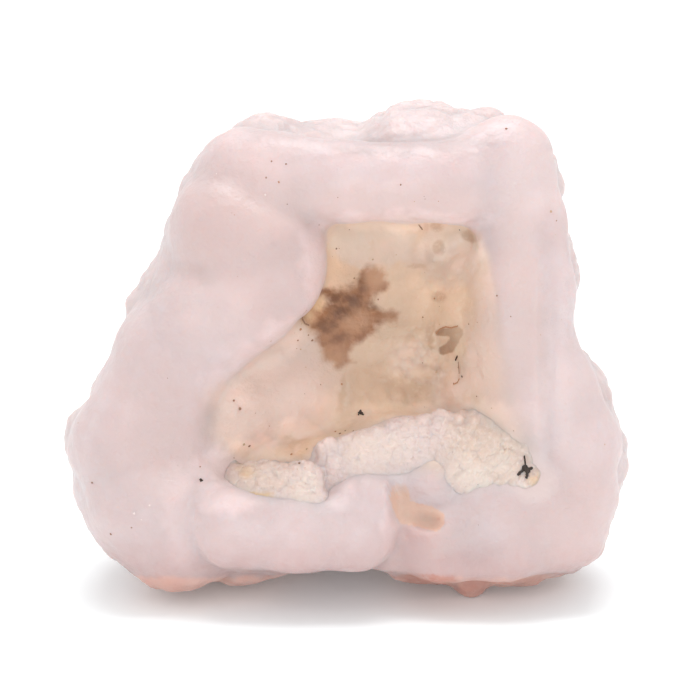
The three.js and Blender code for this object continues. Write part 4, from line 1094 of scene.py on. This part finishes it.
# Each speck is a ball pressed flat, with its points wobbled: an octahedron whose sides are halved once
SPECK_FLATNESS, WOBBLE = 0.5, 0.5
corners = np.array([(1, 0, 0), (0, 1, 0), (-1, 0, 0), (0, -1, 0), (0, 0, 1), (0, 0, -1)], float)
ball_points, ball_faces = list(corners), []
for top in (4, 5):
    for a in range(4):
        b = (a + 1) % 4
        mids = []
        for first, second in ((a, b), (b, top), (top, a)):
            ball_points.append(corners[first] + corners[second])
            mids.append(len(ball_points) - 1)
        ring = [(a, mids[0], mids[2]), (b, mids[1], mids[0]), (top, mids[2], mids[1]), tuple(mids)]
        ball_faces += ring if top == 4 else [face[::-1] for face in ring]
ball_points = np.array(ball_points)
ball_points /= np.linalg.norm(ball_points, axis=1, keepdims=True)
side = np.cross(normal, (0.3, 1.0, 0.2))
side /= np.linalg.norm(side, axis=1, keepdims=True)
other = np.cross(normal, side)
wobble = 1 + WOBBLE * (chance.random((len(specks), len(ball_points))) - 0.5)
reach = (specks[:, 2:3] * wobble)[..., None]
across, along, rise = (ball_points[:, axis:axis + 1] for axis in range(3))
grains = spots[:, None] + reach * (across * side[:, None] + along * other[:, None]
                                   + SPECK_FLATNESS * rise * normal[:, None])
first_points = len(ball_points) * np.arange(len(specks))[:, None, None]
speck_faces = (np.array(ball_faces)[None] + first_points).reshape(-1, 3)
speck_mesh = bpy.data.meshes.new("dark_grains")
speck_mesh.from_pydata(stand(grains.reshape(-1, 3)), [], speck_faces.tolist())
speck_mesh.attributes.new("tint", "FLOAT", "POINT").data.foreach_set(
    "value", np.repeat(specks[:, 3], len(ball_points)).astype(np.float32))


def oxide():
    """Black to ochre oxide, and white quartz, by the tint of each grain."""
    finish, shader, wire = new_finish("oxide", {"Roughness": 0.7})
    stops = [(BLACK, rgb(0.035, 0.022, 0.016)), (UMBER, rgb(0.27, 0.150, 0.095)),
             (RUST, rgb(0.42, 0.200, 0.100)), (OCHRE, rgb(0.48, 0.320, 0.200)),
             (WHITE, rgb(0.72, 0.62, 0.60))]
    color = wire.node("ValToRGB", {"stops": stops}, {0: wire.field("tint")})
    color.into(shader, "Base Color")
    return finish


add_piece("dark_grains", speck_mesh, oxide())

# ==== Floor, light and camera ===================================================================
# A plain white floor under an even white sky, with a soft light over the stone and a wider one before
# it. The camera looks straight into the mouth.

FLOOR_HALF = 1.5                 # in metres, like all that follows
floor_corners = [(x * FLOOR_HALF, y * FLOOR_HALF, 0) for x, y in ((-1, -1), (1, -1), (1, 1), (-1, 1))]
floor_mesh = bpy.data.meshes.new("floor")
floor_mesh.from_pydata(floor_corners, [], [(0, 1, 2, 3)])
floor = bpy.data.objects.new("floor", floor_mesh)
bpy.context.collection.objects.link(floor)
floor_mesh.materials.append(new_finish("floor_paint", {
    "Base Color": rgb(0.90, 0.94, 0.95), "Roughness": 0.9, "Emission Color": rgb(1, 1, 1),
    "Emission Strength": 0.10})[0])

sky = bpy.data.worlds.new("sky")
bpy.context.scene.world = sky
sky.use_nodes = True
background = sky.node_tree.nodes["Background"]
background.inputs["Color"].default_value = rgb(1, 1, 1)
background.inputs["Strength"].default_value = 0.94

# Lights: name, watts, size, place, and tilt in degrees
LIGHTS = [("softbox", 1.35, 0.3, (0.01, 0.07, 0.45), 0),
          ("front_fill", 1.25, 0.5, (0.0, -0.60, 0.12), 80)]
for name, energy, size, place, tilt in LIGHTS:
    lamp = bpy.data.lights.new(name, "AREA")
    lamp.energy, lamp.size = energy, size
    light = bpy.data.objects.new(name, lamp)
    light.location = place
    light.rotation_euler = (math.radians(tilt), 0, 0)
    bpy.context.collection.objects.link(light)

lens = bpy.data.cameras.new("camera")
camera = bpy.data.objects.new("camera", lens)
bpy.context.collection.objects.link(camera)
bpy.context.scene.camera = camera
aim = stand(np.array([0.23, -0.57, -3.0]))
CAMERA_DISTANCE, VIEW_WIDTH, SENSOR_WIDTH = 0.42, 0.0793, 36
camera.location = aim + CAMERA_DISTANCE * np.array([0, -math.cos(LEAN), math.sin(LEAN)])
camera.rotation_euler = (math.pi / 2 - LEAN, 0, 0)
lens.sensor_width = SENSOR_WIDTH
lens.lens = SENSOR_WIDTH * CAMERA_DISTANCE / VIEW_WIDTH
bpy.context.scene.view_settings.view_transform = "Standard"
